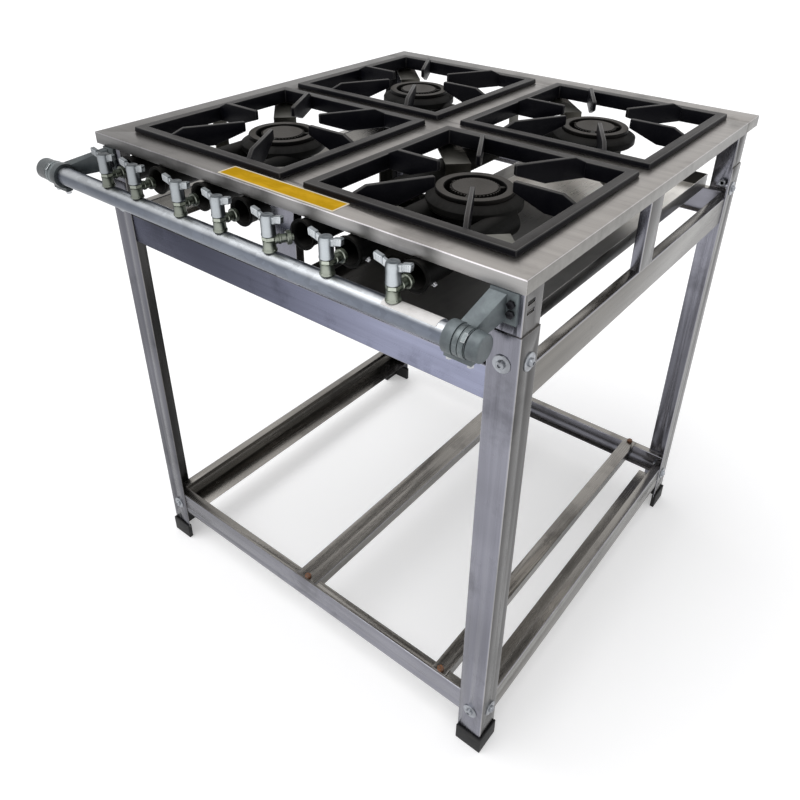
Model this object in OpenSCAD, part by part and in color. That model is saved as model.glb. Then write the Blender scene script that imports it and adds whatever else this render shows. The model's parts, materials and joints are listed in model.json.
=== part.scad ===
// Four-burner low-pressure gas stove on a bolted stainless stand.
// Millimetres. +Z is up, +X is to the cook's right, the taps face -Y, and the feet stand on Z = 0.

/* [Table] */
// Width of the flat table, left to right
table_w = 720; // [700:1:760]
// Depth of the flat table, front to back
table_d = 720; // [700:1:760]
// Height of the table's top face above the floor
table_h = 790; // [700:1:900]
// Height of the folded edge round the table
apron_h = 17; // [12:1:30]
// Width of the separate bar along the back
rear_bar_w = 56; // [30:1:60]
// How far the table overhangs the left legs
overhang_left = 13.5; // [6:0.5:20]
// How far the table overhangs the back legs
overhang_back = 40; // [6:1:60]
// Sheet thickness of the table, stand and legs
sheet = 1.5; // [1:0.1:2.5]

/* [Grates] */
// Outside width of one square grate
grate_w = 300; // [280:1:310]
// Width of the grate's flat rim
rim_w = 14.5; // [10:0.5:20]
// Height of the rim above the table
rim_h = 8; // [5:0.5:12]
// Height of the finger tops above the rim
finger_rise = 8; // [3:0.5:14]
// Thickness of a finger
finger_t = 6; // [4:0.5:9]
// Gap between the burner's top ring and the finger tips
finger_tip_gap = 5; // [2:1:20]
// Distance between the axes of the left and right burners
pitch_x = 341; // [335:1:355]
// Distance between the axes of the front and back burners
pitch_y = 330; // [325:1:345]
// Play of a grate in its opening, on each side
grate_play = 3.5; // [1:0.5:4]

/* [Burners] */
// Radius of the burner's top ring
ring_r = 50; // [44:1:51]
// Radius of the burner's centre disc
disc_r = 30; // [24:1:33]
// Width of the flame slot between disc and ring
slot_w = 9; // [5:0.5:12]
// Radius of the burner's cast body
body_r = 62; // [56:1:68]
// Height of the burner's top below the table top
burner_drop = 5; // [0:1:12]
// Radius of a mixing tube
tube_r = 17.5; // [13:0.5:18]
// Radius of a mixing tube's mouth
mouth_r = 19.5; // [18:0.5:26]
// Width of the strap that hangs each burner
strap_w = 36; // [24:1:40]

/* [Stand] */
// Width of the corner angles and legs
angle_w = 38; // [30:1:50]
// Height of the rails of both rings
rail_h = 44.5; // [30:0.5:60]
// Width of the rails' folded edges
rail_flange = 15; // [10:0.5:20]
// Height of the upper ring's lower edge above the floor
upper_ring_z = 630; // [560:1:690]
// Height of the lower front and back rails above the floor
lower_ring_z = 65; // [50:1:200]
// How much lower the lower side rails sit
side_rail_drop = 9; // [4:0.5:14]
// Width of the lower side rails' bottom shelf
side_shelf = 45; // [20:1:60]
// Height at which the legs end
leg_top_z = 723; // [700:1:760]
// Height of the rubber feet
foot_h = 30; // [20:1:40]
// Depth to which a leg sinks into its foot
foot_socket = 5; // [3:0.5:10]
// Thickness of the rubber outside and inside the leg
foot_wall = 3; // [2:0.5:6]
// Width of the middle posts
mid_post_w = 40; // [30:1:50]
// Depth of the middle posts
mid_post_depth = 14; // [8:1:20]
// Place of the front middle post, from the table's middle
mid_post_x = 22; // [10:1:24]
// Place of the right middle post, from the table's middle
mid_post_y = -32; // [-80:1:40]

/* [Cross bars] */
// Width of the middle cross bar
bar_mid_w = 42; // [30:1:60]
// Place of the middle cross bar's axis
bar_mid_x = 8; // [-40:1:40]
// Width of the right cross bar
bar_right_w = 24; // [18:1:40]
// Place of the right cross bar's axis
bar_right_x = 279.5; // [200:0.5:290]
// Depth of the cross bars' folded edges
bar_flange = 17; // [8:1:25]

/* [Gas pipe and taps] */
// Outside radius of the gas pipe
pipe_r = 13.35; // [10:0.05:15]
// Wall of the gas pipe
pipe_wall = 2.6; // [1.5:0.1:4]
// Distance of the pipe's axis in front of the table
pipe_reach = 40; // [36:1:60]
// Height of the pipe's axis below the table top
pipe_drop = 65; // [60:1:80]
// How far the left end cap stands past the table's left edge
pipe_past_left = 89.5; // [80:0.5:115]
// How far the right end cap stops short of the table's right edge
pipe_short_right = 17; // [-10:1:20]
// Wall of the end caps round the pipe
cap_wall = 2.85; // [2.2:0.05:4]
// Length of the left end cap
cap_left_len = 26; // [12:1:40]
// Length of the right end cap
cap_right_len = 14; // [12:1:30]
// Length of an arm's collar on the pipe
collar_len = 27; // [26:1:36]
// Radius of a tap's handle
stem_r = 9; // [8:0.5:13]
// Height of a tap's handle below its wings
stem_h = 22; // [14:1:26]
// Half of the span of a tap's wings
wing_reach = 25; // [18:1:28]

/* [Drip tray] */
// Width of the drip tray
tray_w = 270; // [240:1:272]
// Length of the drip tray
tray_len = 662; // [650:1:665]
// Height of the drip tray
tray_h = 22; // [15:1:26]

/* [Hidden] */

// Clearance between pieces that move apart, clearance between round faces that stay put,
// and the overlap that keeps cuts clean
gap = 0.3;
skin = 0.1;
cut = 1;

// Outer faces of the legs and of the stand inside them
leg_left = -table_w / 2 + overhang_left;
leg_right = table_w / 2;
leg_front = -table_d / 2;
leg_back = table_d / 2 - overhang_back;
stand_left = leg_left + sheet;
stand_right = leg_right - sheet;
stand_front = leg_front + sheet;
stand_back = leg_back - sheet;
stand_mid_x = (stand_left + stand_right) / 2;
table_under = table_h - sheet;
apron_z = table_h - apron_h;
upper_ring_top = upper_ring_z + rail_h;
lower_ring_top = lower_ring_z + rail_h;

// The burners' axes, and how far each grate lies off them in its opening
burner_mid_y = -11;
SIDES = [[-1, -1], [1, -1], [-1, 1], [1, 1]];
function burner_at(side) = [stand_mid_x + side[0] * pitch_x / 2, burner_mid_y + side[1] * pitch_y / 2];
GRATE_SHIFT = [[0.3, 0.8], [-0.2, -0.8], [0.5, -1], [-0.5, 1]];
grate_lip = 4;
opening_half = grate_w / 2 - rim_w + grate_lip + grate_play;
opening_lip = 8;
opening_corner_r = 4;

// Leg bolts: places along the angle's two faces, and heights
bolt_in_front = 20;
bolt_in_side = 22;
bolt_top_z = upper_ring_top + 11;
bolt_low_z = lower_ring_z + 14;
bolt_r = 3;
bolt_hole_r = 3.3;
bolt_head_r = 5.2;
bolt_head_h = 4;
washer_r = 11;
washer_t = 1.5;
nut_r = 6;
nut_t = 5;
thread_past_nut = 2;
bar_head_r = 5.5;
bar_head_h = 3.5;
bar_shank = 8;

// Gas pipe, arms and taps
pipe_y = leg_front - pipe_reach;
pipe_z = table_h - pipe_drop;
pipe_left = -table_w / 2 - pipe_past_left;
pipe_right = table_w / 2 - pipe_short_right;
PIPE_END = [pipe_left, pipe_right];
OUT = [-1, 1];
cap_r = pipe_r + cap_wall;
// The outer taps line up with the front burners they feed, the two middle ones with the table
left_axis = stand_mid_x - pitch_x / 2;
right_axis = stand_mid_x + pitch_x / 2;
TAP_X = [left_axis - 116.25, left_axis - 50.25, left_axis + 41.75, -45, 43,
    right_axis - 42.75, right_axis + 50.75];
// Middle of each mixing tube, how far it turns towards its burner, and how far its valve is turned
tube_5_shift = 19;
TUBE_X = [for (i = [0 : len(TAP_X) - 1]) TAP_X[i] + (i == 4 ? tube_5_shift : 0)];
TUBE_TURN = [90, 0, 0, -90, 90, 0, 0];
VALVE_TURN = [0, 0, 0, 0, -30, 0, 0];
CAP_LEN = [cap_left_len, cap_right_len];
cap_end = 4;
cap_bead = 7;
cap_step = 0.6;
fit = 0.15;

// A collar is a wide flange towards the pipe's middle and a neck under two bands towards its end
collar_r = pipe_r + 4.65;
flange_w = 12;
neck_r = pipe_r + 2.25;
lug_w = 10;
lug_drop = 5;
lug_len = 34;
lug_hole = 2.1;
band_w = 6;
band_t = 1.5;
BAND_AT = [2.5, 9.5];
band_end = 8;
screw_out = 13;
screw_head_r = 4;
screw_head_h = 4;
screw_len = 5;
arm_t = 3;
arm_edge = 7;
arm_root_in = 1;
arm_root_edge = 3;
ARM_TIP = [20, 4, 18];
arm_tip_y = 10;
arm_tip_z = 6;
ARM_BOLT_X = [stand_left + 18, stand_right - 12.5];
ARM_BASE_W = [11, 20];
arm_root_h = 36;
arm_root_z = table_h - 36;
arm_bolt_gap = 11;
arm_bolt_r = 2.4;
arm_head_r = 4.8;
arm_head_h = 3.5;
slot_in = 7;
slot_len = 15;
slot_h = 5.5;
valve_r = 9;
valve_hole_r = 6;
spindle_r = 4;
spindle_len = 12;
spindle_fit = 0.05;
boss_r = 5.5;
boss_len = 20;
jet_z = table_h - 38;
jet_disc_r = 8.5;
jet_disc_t = 6;
jet_tip_r = 4;
jet_tip_len = 3;
stem_z = pipe_z + 33;
wing_t = 5;
wing_lift = 6;
wing_root = 3;

// Burners
burner_top = table_h - burner_drop;
head_t = 6;
web_w = 8;
WEBS = [[50, 2], [170, 2], [290, head_t - 2 * gap]];
ring_step = 0.5;
body_round = 3;
body_h = 18;
body_edge = 7;
body_top = burner_top - head_t;
body_low = body_top - body_h;
chamber_r = 44;
chamber_wall = 4;
chamber_h = 28;
chamber_low = body_low - chamber_h;
tube_z = jet_z;
tube_wall = 3;
tube_bend = 22;
mouth_y = leg_front - 6;
mouth_len = 8;
FEEDS = [[0, 1, 2], [5, 6], [3], [4]];
join_before = 92;
strap_t = 2;
strap_bend = 116;
ear_top = tube_z + tube_r + 1 + strap_t;
strap_drop_s = opening_half * sqrt(2) + 6;
strap_end_w = 24;
strap_end = 8;
side_leg_w = 26;

// Grates and tray
grate_lip_h = 14;
finger_slope = 14;
finger_tip_h = 14;
finger_low_r = 100;
finger_seat = 2.5;
finger_tip_r = ring_r + finger_tip_gap;
tray_t = 1;
tray_setback = 4.5;

// Labels
plate_t = 0.4;
plate_len = 198;
plate_w = 30;
plate_mid = [6, leg_front + 17.5];
label_len = 72;
label_x = 254;
label_half_h = 9.2;

// The origin is the middle of the whole stove's outline, on the floor
box_left = pipe_left;
box_right = leg_right + washer_t + bolt_head_h;
box_front = pipe_y - collar_r;
box_back = table_d / 2;
to_origin = [-(box_left + box_right) / 2, -(box_front + box_back) / 2, 0];

steel = [0.66, 0.65, 0.67];
table_steel = [0.70, 0.68, 0.65];
iron = [0.10, 0.10, 0.11];
rubber = [0.05, 0.05, 0.05];
galvanised = [0.62, 0.64, 0.68];
paint = [0.33, 0.37, 0.36];
zinc = [0.78, 0.79, 0.80];
brass = [0.48, 0.47, 0.30];
rust = [0.40, 0.25, 0.17];
yellow = [0.90, 0.75, 0.10];

// A box given by its low and high corners
module block(low, high) {
    translate(low) cube(high - low);
}

// A channel along +X: its web stands on Z = 0 at Y = 0, its folded edges point to +Y
module channel(len, height, top_edge, low_edge) {
    block([0, 0, 0], [len, sheet, height]);
    block([0, 0, height - sheet], [len, top_edge, height]);
    block([0, 0, 0], [len, low_edge, sheet]);
}

// An angle along +Z with its corner at the origin and its legs along +X and +Y
module angle(len, width) {
    block([0, 0, 0], [width, sheet, len]);
    block([0, 0, 0], [sheet, width, len]);
}

// Puts a piece that is drawn for the front left corner at any corner
module at_corner(side, left, right, front, back) {
    translate([side[0] < 0 ? left : right, side[1] < 0 ? front : back, 0])
        mirror([side[0] < 0 ? 0 : 1, 0, 0]) mirror([0, side[1] < 0 ? 0 : 1, 0]) children();
}

module at_leg_corner(side) {
    at_corner(side, leg_left, leg_right, leg_front, leg_back) children();
}

module at_stand_corner(side) {
    at_corner(side, stand_left, stand_right, stand_front, stand_back) children();
}

// The four bolt places of one leg; +Z there points out of the leg's outer face
module at_leg_bolts(heights) {
    for (z = heights) {
        translate([bolt_in_front, 0, z]) rotate([90, 0, 0]) children();
        translate([0, bolt_in_side, z]) rotate([0, -90, 0]) children();
    }
}

module bolt_holes(heights) {
    at_leg_bolts(heights) translate([0, 0, -10]) cylinder(r = bolt_hole_r, h = 12, $fn = 32);
}

// A square hole with slightly rounded corners
module opening(half, z, h) {
    r = opening_corner_r;
    translate([0, 0, z]) linear_extrude(h) union() {
        square([2 * half, 2 * (half - r)], center = true);
        square([2 * (half - r), 2 * half], center = true);
        for (x = [-1, 1], y = [-1, 1])
            translate([x * (half - r), y * (half - r)]) circle(r = r, $fn = 24);
    }
}

module table_frame() {
    seam = table_d / 2 - rear_bar_w;
    color(table_steel) difference() {
        union() {
            block([-table_w / 2, -table_d / 2, table_under], [table_w / 2, seam, table_h]);
            block([-table_w / 2, -table_d / 2, apron_z], [table_w / 2, -table_d / 2 + sheet, table_h]);
            for (x = [-table_w / 2, table_w / 2 - sheet])
                block([x, -table_d / 2, apron_z], [x + sheet, seam, table_h]);
            for (side = SIDES)
                translate(burner_at(side)) opening(opening_half + sheet, table_h - opening_lip, opening_lip);
        }
        for (side = SIDES)
            translate(burner_at(side)) opening(opening_half, apron_z - cut, apron_h + 2 * cut);
    }
}

module table_rear_bar() {
    seam = table_d / 2 - rear_bar_w;
    color(table_steel) {
        block([-table_w / 2, seam, table_under], [table_w / 2, table_d / 2, table_h]);
        block([-table_w / 2, table_d / 2 - sheet, apron_z], [table_w / 2, table_d / 2, table_h]);
        for (x = [-table_w / 2, table_w / 2 - sheet])
            block([x, seam, apron_z], [x + sheet, table_d / 2, table_h]);
    }
}

// Level slots for the arm's bolts, in both faces of a corner post
module post_slots() {
    for (z = [arm_root_z - arm_bolt_gap / 2, arm_root_z + arm_bolt_gap / 2])
        translate([0, 0, z - slot_h / 2]) {
            translate([slot_in, -cut, 0]) cube([slot_len, sheet + 2 * cut, slot_h]);
            translate([-cut, slot_in, 0]) cube([sheet + 2 * cut, slot_len, slot_h]);
        }
}

module corner_post(side) {
    color(steel) at_stand_corner(side) difference() {
        translate([0, 0, upper_ring_top]) angle(table_under - upper_ring_top, angle_w);
        translate([-sheet, -sheet, 0]) bolt_holes([bolt_top_z]);
        if (side[1] < 0)
            post_slots();
    }
}

// A short channel that stands between the upper ring and the table
module middle_post() {
    rotate([0, -90, 0]) mirror([0, 0, 1])
        channel(table_under - upper_ring_top, mid_post_w, mid_post_depth, mid_post_depth);
}

module middle_post_front() {
    color(steel) translate([mid_post_x - mid_post_w / 2, stand_front, upper_ring_top]) middle_post();
}

module middle_post_right() {
    color(steel) translate([stand_right, mid_post_y - mid_post_w / 2, upper_ring_top])
        rotate([0, 0, 90]) middle_post();
}

// Front and back rails run the full width, side rails fit between their folded edges
module front_rail(z) {
    translate([stand_left, stand_front, z])
        channel(stand_right - stand_left, rail_h, rail_flange, rail_flange);
}

module rear_rail(z) {
    translate([stand_left, stand_back, z]) mirror([0, 1, 0])
        channel(stand_right - stand_left, rail_h, rail_flange, rail_flange);
}

module side_rail(right, z, top_edge, low_edge) {
    from = stand_front + rail_flange;
    len = stand_back - rail_flange - from;
    translate([right ? stand_right : stand_left, from, z]) mirror([right ? 0 : 1, 0, 0])
        rotate([0, 0, 90]) channel(len, rail_h, top_edge, low_edge);
}

module stand_bolt_holes(heights) {
    for (side = SIDES)
        at_leg_corner(side) bolt_holes(heights);
}

module upper_rail(which) {
    color(steel) {
        if (which == "front") front_rail(upper_ring_z);
        if (which == "rear") rear_rail(upper_ring_z);
        if (which == "left") side_rail(false, upper_ring_z, rail_flange, rail_flange);
        if (which == "right") side_rail(true, upper_ring_z, rail_flange, rail_flange);
    }
}

module lower_rail(which) {
    color(steel) difference() {
        union() {
            if (which == "front") front_rail(lower_ring_z);
            if (which == "rear") rear_rail(lower_ring_z);
            if (which == "left") side_rail(false, lower_ring_z - side_rail_drop, rail_flange, side_shelf);
            if (which == "right") side_rail(true, lower_ring_z - side_rail_drop, rail_flange, side_shelf);
        }
        stand_bolt_holes([bolt_low_z]);
        for (mid = [bar_mid_x, bar_right_x])
            at_bar_bolts(mid) translate([0, 0, -5]) cylinder(r = bolt_hole_r, h = 10, $fn = 32);
    }
}

module leg(side) {
    low = foot_h - foot_socket;
    color(steel) at_leg_corner(side) difference() {
        translate([0, 0, low]) angle(leg_top_z - low, angle_w + sheet);
        bolt_holes([bolt_low_z, bolt_top_z]);
    }
}

module foot(side) {
    w = angle_w + sheet + foot_wall;
    t = 2 * foot_wall + sheet;
    color(rubber) at_leg_corner(side) difference() {
        translate([-foot_wall, -foot_wall, 0]) {
            cube([w, t, foot_h]);
            cube([t, w, foot_h]);
        }
        translate([0, 0, foot_h - foot_socket]) angle(foot_socket + cut, w);
    }
}

// Both cross bars lie on the lower rails, and their folded edges end between them
module cross_bar(mid, width, edges) {
    overlap = rail_flange - 3;
    from = stand_front + rail_flange;
    to = stand_back - rail_flange;
    difference() {
        union() {
            block([mid - width / 2, from - overlap, lower_ring_top],
                [mid + width / 2, to + overlap, lower_ring_top + sheet]);
            for (edge = edges)
                translate([mid + (edge * (width - sheet) - sheet) / 2, from + 1, lower_ring_top])
                    translate([0, 0, -bar_flange]) cube([sheet, to - from - 2, bar_flange + sheet]);
        }
        at_bar_bolts(mid) translate([0, 0, -cut]) cylinder(r = bolt_hole_r, h = sheet + 2 * cut, $fn = 32);
    }
}

module at_bar_bolts(mid) {
    for (y = [stand_front + rail_flange / 2, stand_back - rail_flange / 2])
        translate([mid, y, lower_ring_top]) children();
}

module cross_bar_middle() {
    color(steel) cross_bar(bar_mid_x, bar_mid_w, [-1, 1]);
}

// The right bar is an angle whose back corner is bent up into a point
module cross_bar_right() {
    tip = 14;
    color(steel) {
        cross_bar(bar_right_x, bar_right_w, [1]);
        translate([bar_right_x + bar_right_w / 2, stand_back - rail_flange - 12, lower_ring_top + sheet])
            rotate([90, 0, -90]) linear_extrude(sheet) polygon([[0, 0], [12, 0], [0, tip]]);
    }
}

// Screws that hold the bars: each is a short screw with its nut under the rail's edge
module cross_bar_bolts() {
    color(rust) for (mid = [bar_mid_x, bar_right_x])
        at_bar_bolts(mid) union() {
            translate([0, 0, sheet]) cylinder(r = bar_head_r, h = bar_head_h, $fn = 6);
            translate([0, 0, -bar_shank]) cylinder(r = bolt_r - fit, h = bar_shank + sheet + 1, $fn = 32);
            translate([0, 0, -sheet - nut_t]) cylinder(r = bar_head_r, h = nut_t, $fn = 6);
        }
}

module leg_bolts() {
    shank = 2 * sheet + nut_t + thread_past_nut + washer_t;
    color(zinc) for (side = SIDES) at_leg_corner(side) at_leg_bolts([bolt_low_z, bolt_top_z]) {
        translate([0, 0, washer_t]) rotate_extrude($fn = 48) polygon([
            [0, 0], [bolt_head_r, 0], [bolt_head_r, 1.2], [bolt_head_r * 0.85, 2.6],
            [bolt_head_r * 0.5, bolt_head_h - 0.3], [0, bolt_head_h]]);
        translate([0, 0, washer_t - shank]) cylinder(r = bolt_r, h = shank + 1, $fn = 32);
    }
}

module leg_washers() {
    color(zinc) for (side = SIDES) at_leg_corner(side) at_leg_bolts([bolt_low_z, bolt_top_z])
        difference() {
            cylinder(r = washer_r, h = washer_t, $fn = 48);
            translate([0, 0, -cut]) cylinder(r = bolt_r + fit, h = washer_t + 2 * cut, $fn = 32);
        }
}

module leg_nuts() {
    color(zinc) for (side = SIDES) at_leg_corner(side) at_leg_bolts([bolt_low_z, bolt_top_z])
        translate([0, 0, -2 * sheet - nut_t]) difference() {
            cylinder(r = nut_r, h = nut_t, $fn = 6);
            translate([0, 0, -cut]) cylinder(r = bolt_r + fit, h = nut_t + 2 * cut, $fn = 32);
        }
}

// A round bar along +X from x0 to x1 at the gas pipe's axis
module along_pipe(x0, x1, r) {
    translate([x0, pipe_y, pipe_z]) rotate([0, 90, 0]) cylinder(r = r, h = x1 - x0, $fn = 64);
}

module gas_pipe() {
    from = pipe_left + cap_end;
    to = pipe_right - cap_end;
    color(galvanised) difference() {
        along_pipe(from, to, pipe_r);
        along_pipe(from - cut, to + cut, pipe_r - pipe_wall);
        for (x = TAP_X)
            translate([x, pipe_y, pipe_z]) cylinder(r = valve_hole_r, h = pipe_r + cut, $fn = 32);
    }
}

module pipe_caps() {
    color(paint) for (i = [0, 1])
        translate([PIPE_END[i], pipe_y, pipe_z]) rotate([0, -90 * OUT[i], 0]) difference() {
            union() {
                cylinder(r = cap_r - cap_step, h = CAP_LEN[i], $fn = 64);
                translate([0, 0, CAP_LEN[i] - cap_bead]) cylinder(r = cap_r, h = cap_bead, $fn = 64);
            }
            translate([0, 0, cap_end]) cylinder(r = pipe_r + fit, h = CAP_LEN[i], $fn = 64);
        }
}

// The middle of an arm's collar on the pipe; index 0 is left, 1 is right
function collar_x(i) = PIPE_END[i] - OUT[i] * (CAP_LEN[i] + 1 + collar_len / 2);

// The two bolt places of an arm, on the front face of its corner post; +Z there points to the front
module at_arm_bolts(i) {
    for (s = [-1, 1])
        translate([ARM_BOLT_X[i], stand_front, arm_root_z + s * arm_bolt_gap / 2])
            rotate([90, 0, 0]) children();
}

// The two clamp screws of a collar
module at_clamp_screws(i) {
    for (s = [-1, 1])
        translate([collar_x(i) + s * screw_out, pipe_y, pipe_z - collar_r - lug_drop]) children();
}

// A cast bracket: a bolted plate on the corner post, a tapering arm, and a collar round the pipe
module pipe_arm(i) {
    mid = collar_x(i);
    half = collar_len / 2;
    base_w = ARM_BASE_W[i];
    root_x = ARM_BOLT_X[i] - arm_edge + arm_root_in - base_w;
    root = [root_x, stand_front - arm_t, arm_root_z - arm_root_h / 2];
    lug = [mid, pipe_y - lug_w / 2, pipe_z - collar_r - lug_drop];
    color(paint) difference() {
        union() {
            translate(root) cube([base_w + 2 * arm_edge - arm_root_in, arm_t, arm_root_h]);
            difference() {
                hull() {
                    translate(root + [0, -1, arm_root_edge])
                        cube([base_w, arm_t, arm_root_h - 2 * arm_root_edge]);
                    translate([mid - ARM_TIP[0] / 2, pipe_y + arm_tip_y, pipe_z - arm_tip_z]) cube(ARM_TIP);
                }
                along_pipe(mid - 3 * half, mid - half, cap_r + 2 * gap);
                along_pipe(mid + half, mid + 3 * half, cap_r + 2 * gap);
            }
            along_pipe(mid - half, mid + half, neck_r);
            translate([mid - OUT[i] * (half - flange_w / 2), 0, 0])
                along_pipe(-flange_w / 2, flange_w / 2, collar_r);
            translate(lug + [-lug_len / 2, 0, 0]) cube([lug_len, lug_w, lug_drop + collar_r - cap_r - gap]);
            translate(lug + [-half, 0, 0]) cube([collar_len, lug_w, lug_drop + collar_r - neck_r + 1]);
        }
        along_pipe(mid - collar_len, mid + collar_len, pipe_r + fit);
        at_clamp_screws(i) translate([0, 0, -cut]) cylinder(r = lug_hole, h = screw_len + 2 * cut, $fn = 24);
        at_arm_bolts(i) translate([0, 0, -cut])
            cylinder(r = arm_bolt_r + fit, h = arm_t + 2 * cut, $fn = 24);
    }
}

// Two bands run round the front of each collar's neck, and the clamp's screws sit under its lug
module pipe_clamps() {
    inner = neck_r + skin;
    big = 2 * collar_r;
    color(zinc) for (i = [0, 1]) {
        for (at = BAND_AT) {
            from = collar_x(i) + OUT[i] * at - band_w / 2;
            difference() {
                along_pipe(from, from + band_w, inner + band_t);
                along_pipe(from - cut, from + band_w + cut, inner);
                translate([from - cut, pipe_y + band_end, pipe_z - big])
                    cube([band_w + 2 * cut, big, 2 * big]);
                translate([from - cut, pipe_y - lug_w / 2 - gap, pipe_z - big])
                    cube([band_w + 2 * cut, big, big]);
            }
        }
        at_clamp_screws(i) {
            translate([0, 0, -screw_head_h]) cylinder(r = screw_head_r, h = screw_head_h, $fn = 6);
            translate([0, 0, -1]) cylinder(r = lug_hole - skin, h = screw_len + 1, $fn = 24);
        }
    }
}

module arm_bolts() {
    color(iron) for (i = [0, 1]) at_arm_bolts(i) {
        translate([0, 0, arm_t]) cylinder(r = arm_head_r, h = arm_head_h, $fn = 6);
        translate([0, 0, -sheet - nut_t]) cylinder(r = arm_bolt_r, h = sheet + nut_t + arm_t + 1, $fn = 24);
        translate([0, 0, -sheet - nut_t]) difference() {
            cylinder(r = arm_head_r, h = nut_t - 1, $fn = 6);
            translate([0, 0, -cut]) cylinder(r = arm_bolt_r + fit, h = nut_t + cut, $fn = 24);
        }
    }
}

// Valve bodies stand on the pipe; each has a spindle for its handle and a boss for its jet
module valve_bodies() {
    seat = pipe_z + pipe_r;
    color(brass) for (i = [0 : len(TAP_X) - 1]) translate([TAP_X[i], pipe_y, 0]) {
        translate([0, 0, seat - pipe_wall]) cylinder(r = valve_hole_r - fit, h = pipe_wall + 1, $fn = 32);
        translate([0, 0, seat + skin]) cylinder(r = valve_r, h = stem_z - seat - skin, $fn = 48);
        translate([0, 0, stem_z - 1]) cylinder(r = spindle_r, h = spindle_len + 1, $fn = 32);
        translate([0, 0, jet_z]) rotate([-90, 0, VALVE_TURN[i]])
            cylinder(r = boss_r, h = boss_len, $fn = 32);
    }
}

module gas_jets() {
    color(brass) for (i = [0 : len(TAP_X) - 1])
        translate([TAP_X[i], pipe_y, jet_z]) rotate([-90, 0, VALVE_TURN[i]]) translate([0, 0, boss_len]) {
            cylinder(r = jet_disc_r, h = jet_disc_t, $fn = 48);
            cylinder(r = jet_tip_r, h = jet_disc_t + jet_tip_len, $fn = 32);
        }
}

// A wing handle: a round stem with two blades that rise to their tips, turning on the valve's spindle
module tap(i) {
    bore_h = spindle_len + 1;
    color(zinc) translate([TAP_X[i], pipe_y, stem_z]) difference() {
        union() {
            translate([0, 0, gap]) cylinder(r = stem_r, h = stem_h - gap, $fn = 64);
            cylinder(r = stem_r - 2, h = stem_h + 3, $fn = 48);
            for (turn = [0, 180])
                rotate([90, 0, turn]) translate([0, 0, -wing_t / 2]) linear_extrude(wing_t) polygon([
                    [wing_root, stem_h - 6], [stem_r, stem_h - 6], [wing_reach - 1, stem_h + wing_lift - 7],
                    [wing_reach, stem_h + wing_lift], [wing_reach - 3, stem_h + wing_lift + 3],
                    [stem_r, stem_h + 4], [wing_root, stem_h + 2]]);
        }
        translate([0, 0, -cut]) cylinder(r = stem_r + cut, h = cut + gap, $fn = 32);
        translate([0, 0, -cut]) cylinder(r = spindle_r + spindle_fit, h = bore_h + cut, $fn = 32);
    }
}

// A bent strap under each burner, from the opening's back left corner to its front right one
module strap() {
    low = chamber_low - strap_t;
    w = strap_w / 2;
    n = strap_end_w / 2;
    block([-strap_bend, -w, low], [strap_bend, w, chamber_low]);
    for (turn = [0, 180]) rotate([0, 0, turn]) {
        block([strap_bend, -w, low], [strap_bend + strap_t, w, ear_top]);
        block([strap_bend, -w, ear_top - strap_t], [strap_drop_s + strap_t, w, ear_top]);
        block([strap_drop_s, -n, ear_top - strap_t], [strap_drop_s + strap_t, n, table_under]);
        block([strap_drop_s, -n, table_under - strap_t], [strap_drop_s + strap_end, n, table_under]);
    }
}

// The strap's third leg runs left and ends at the opening's folded lip
module side_leg() {
    low = chamber_low - strap_t;
    out = -opening_half - strap_t;
    w = side_leg_w / 2;
    block([out, -w, low], [0, w, chamber_low]);
    block([out, -w, low], [out + strap_t, w, table_h - opening_lip]);
}

module burner_straps() {
    color(table_steel) for (side = SIDES) translate(burner_at(side)) {
        rotate([0, 0, -45]) strap();
        side_leg();
    }
}

// One mixing tube from its mouth to the point goal; hollow gives the space inside it
module feed(i, goal, hollow) {
    turn = abs(TUBE_TURN[i]);
    way = sign(TUBE_TURN[i]);
    r = hollow ? tube_r - tube_wall : tube_r;
    mouth = hollow ? mouth_r - tube_wall : mouth_r;
    front = hollow ? -cut : 0;
    edge = hollow ? 0 : 2;
    shoulder = hollow ? 0 : 1;
    side = tube_bend * (1 - cos(turn));
    last = turn == 0 ? 0 : (abs(goal[0] - TUBE_X[i]) - side) / sin(turn);
    straight = goal[1] - mouth_y - (turn == 0 ? 0 : tube_bend * sin(turn) + last * cos(turn));
    translate([TUBE_X[i], mouth_y, tube_z]) mirror([way > 0 ? 1 : 0, 0, 0]) {
        rotate([-90, 0, 0]) rotate_extrude($fn = 64) polygon([
            [0, front], [mouth, front], [mouth, edge], [r + shoulder, edge + 3],
            [r, mouth_len], [r, straight], [0, straight]]);
        if (turn > 0) {
            translate([-tube_bend, straight, 0]) rotate_extrude(angle = turn, $fn = 96)
                translate([tube_bend, 0]) circle(r = r, $fn = 48);
            translate([-side, straight + tube_bend * sin(turn), 0]) rotate([-90, 0, turn])
                cylinder(r = r, h = last, $fn = 64);
        }
    }
}

// Where a mixing tube ends: at its burner's axis, or inside its neighbour's tube for the first tap
function feed_goal(i, c) = i == 0 ? [TUBE_X[1], c[1] - join_before] : c;

// The cast body: a flared bowl over a round chamber, with its mixing tubes
module burner_body(n) {
    c = burner_at(SIDES[n]);
    floor_z = chamber_low + chamber_wall;
    color(iron) difference() {
        union() {
            translate(c) rotate_extrude($fn = 96) polygon([
                [0, chamber_low], [chamber_r, chamber_low], [chamber_r, body_low],
                [body_r - body_round, body_low], [body_r, body_low + body_round],
                [body_r, body_top - body_edge], [ring_r + ring_step, body_top], [0, body_top]]);
            for (i = FEEDS[n])
                feed(i, feed_goal(i, c), false);
        }
        translate([c[0], c[1], floor_z])
            cylinder(r = chamber_r - chamber_wall, h = body_top - floor_z + cut, $fn = 64);
        for (i = FEEDS[n])
            feed(i, feed_goal(i, c), true);
    }
}

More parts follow.
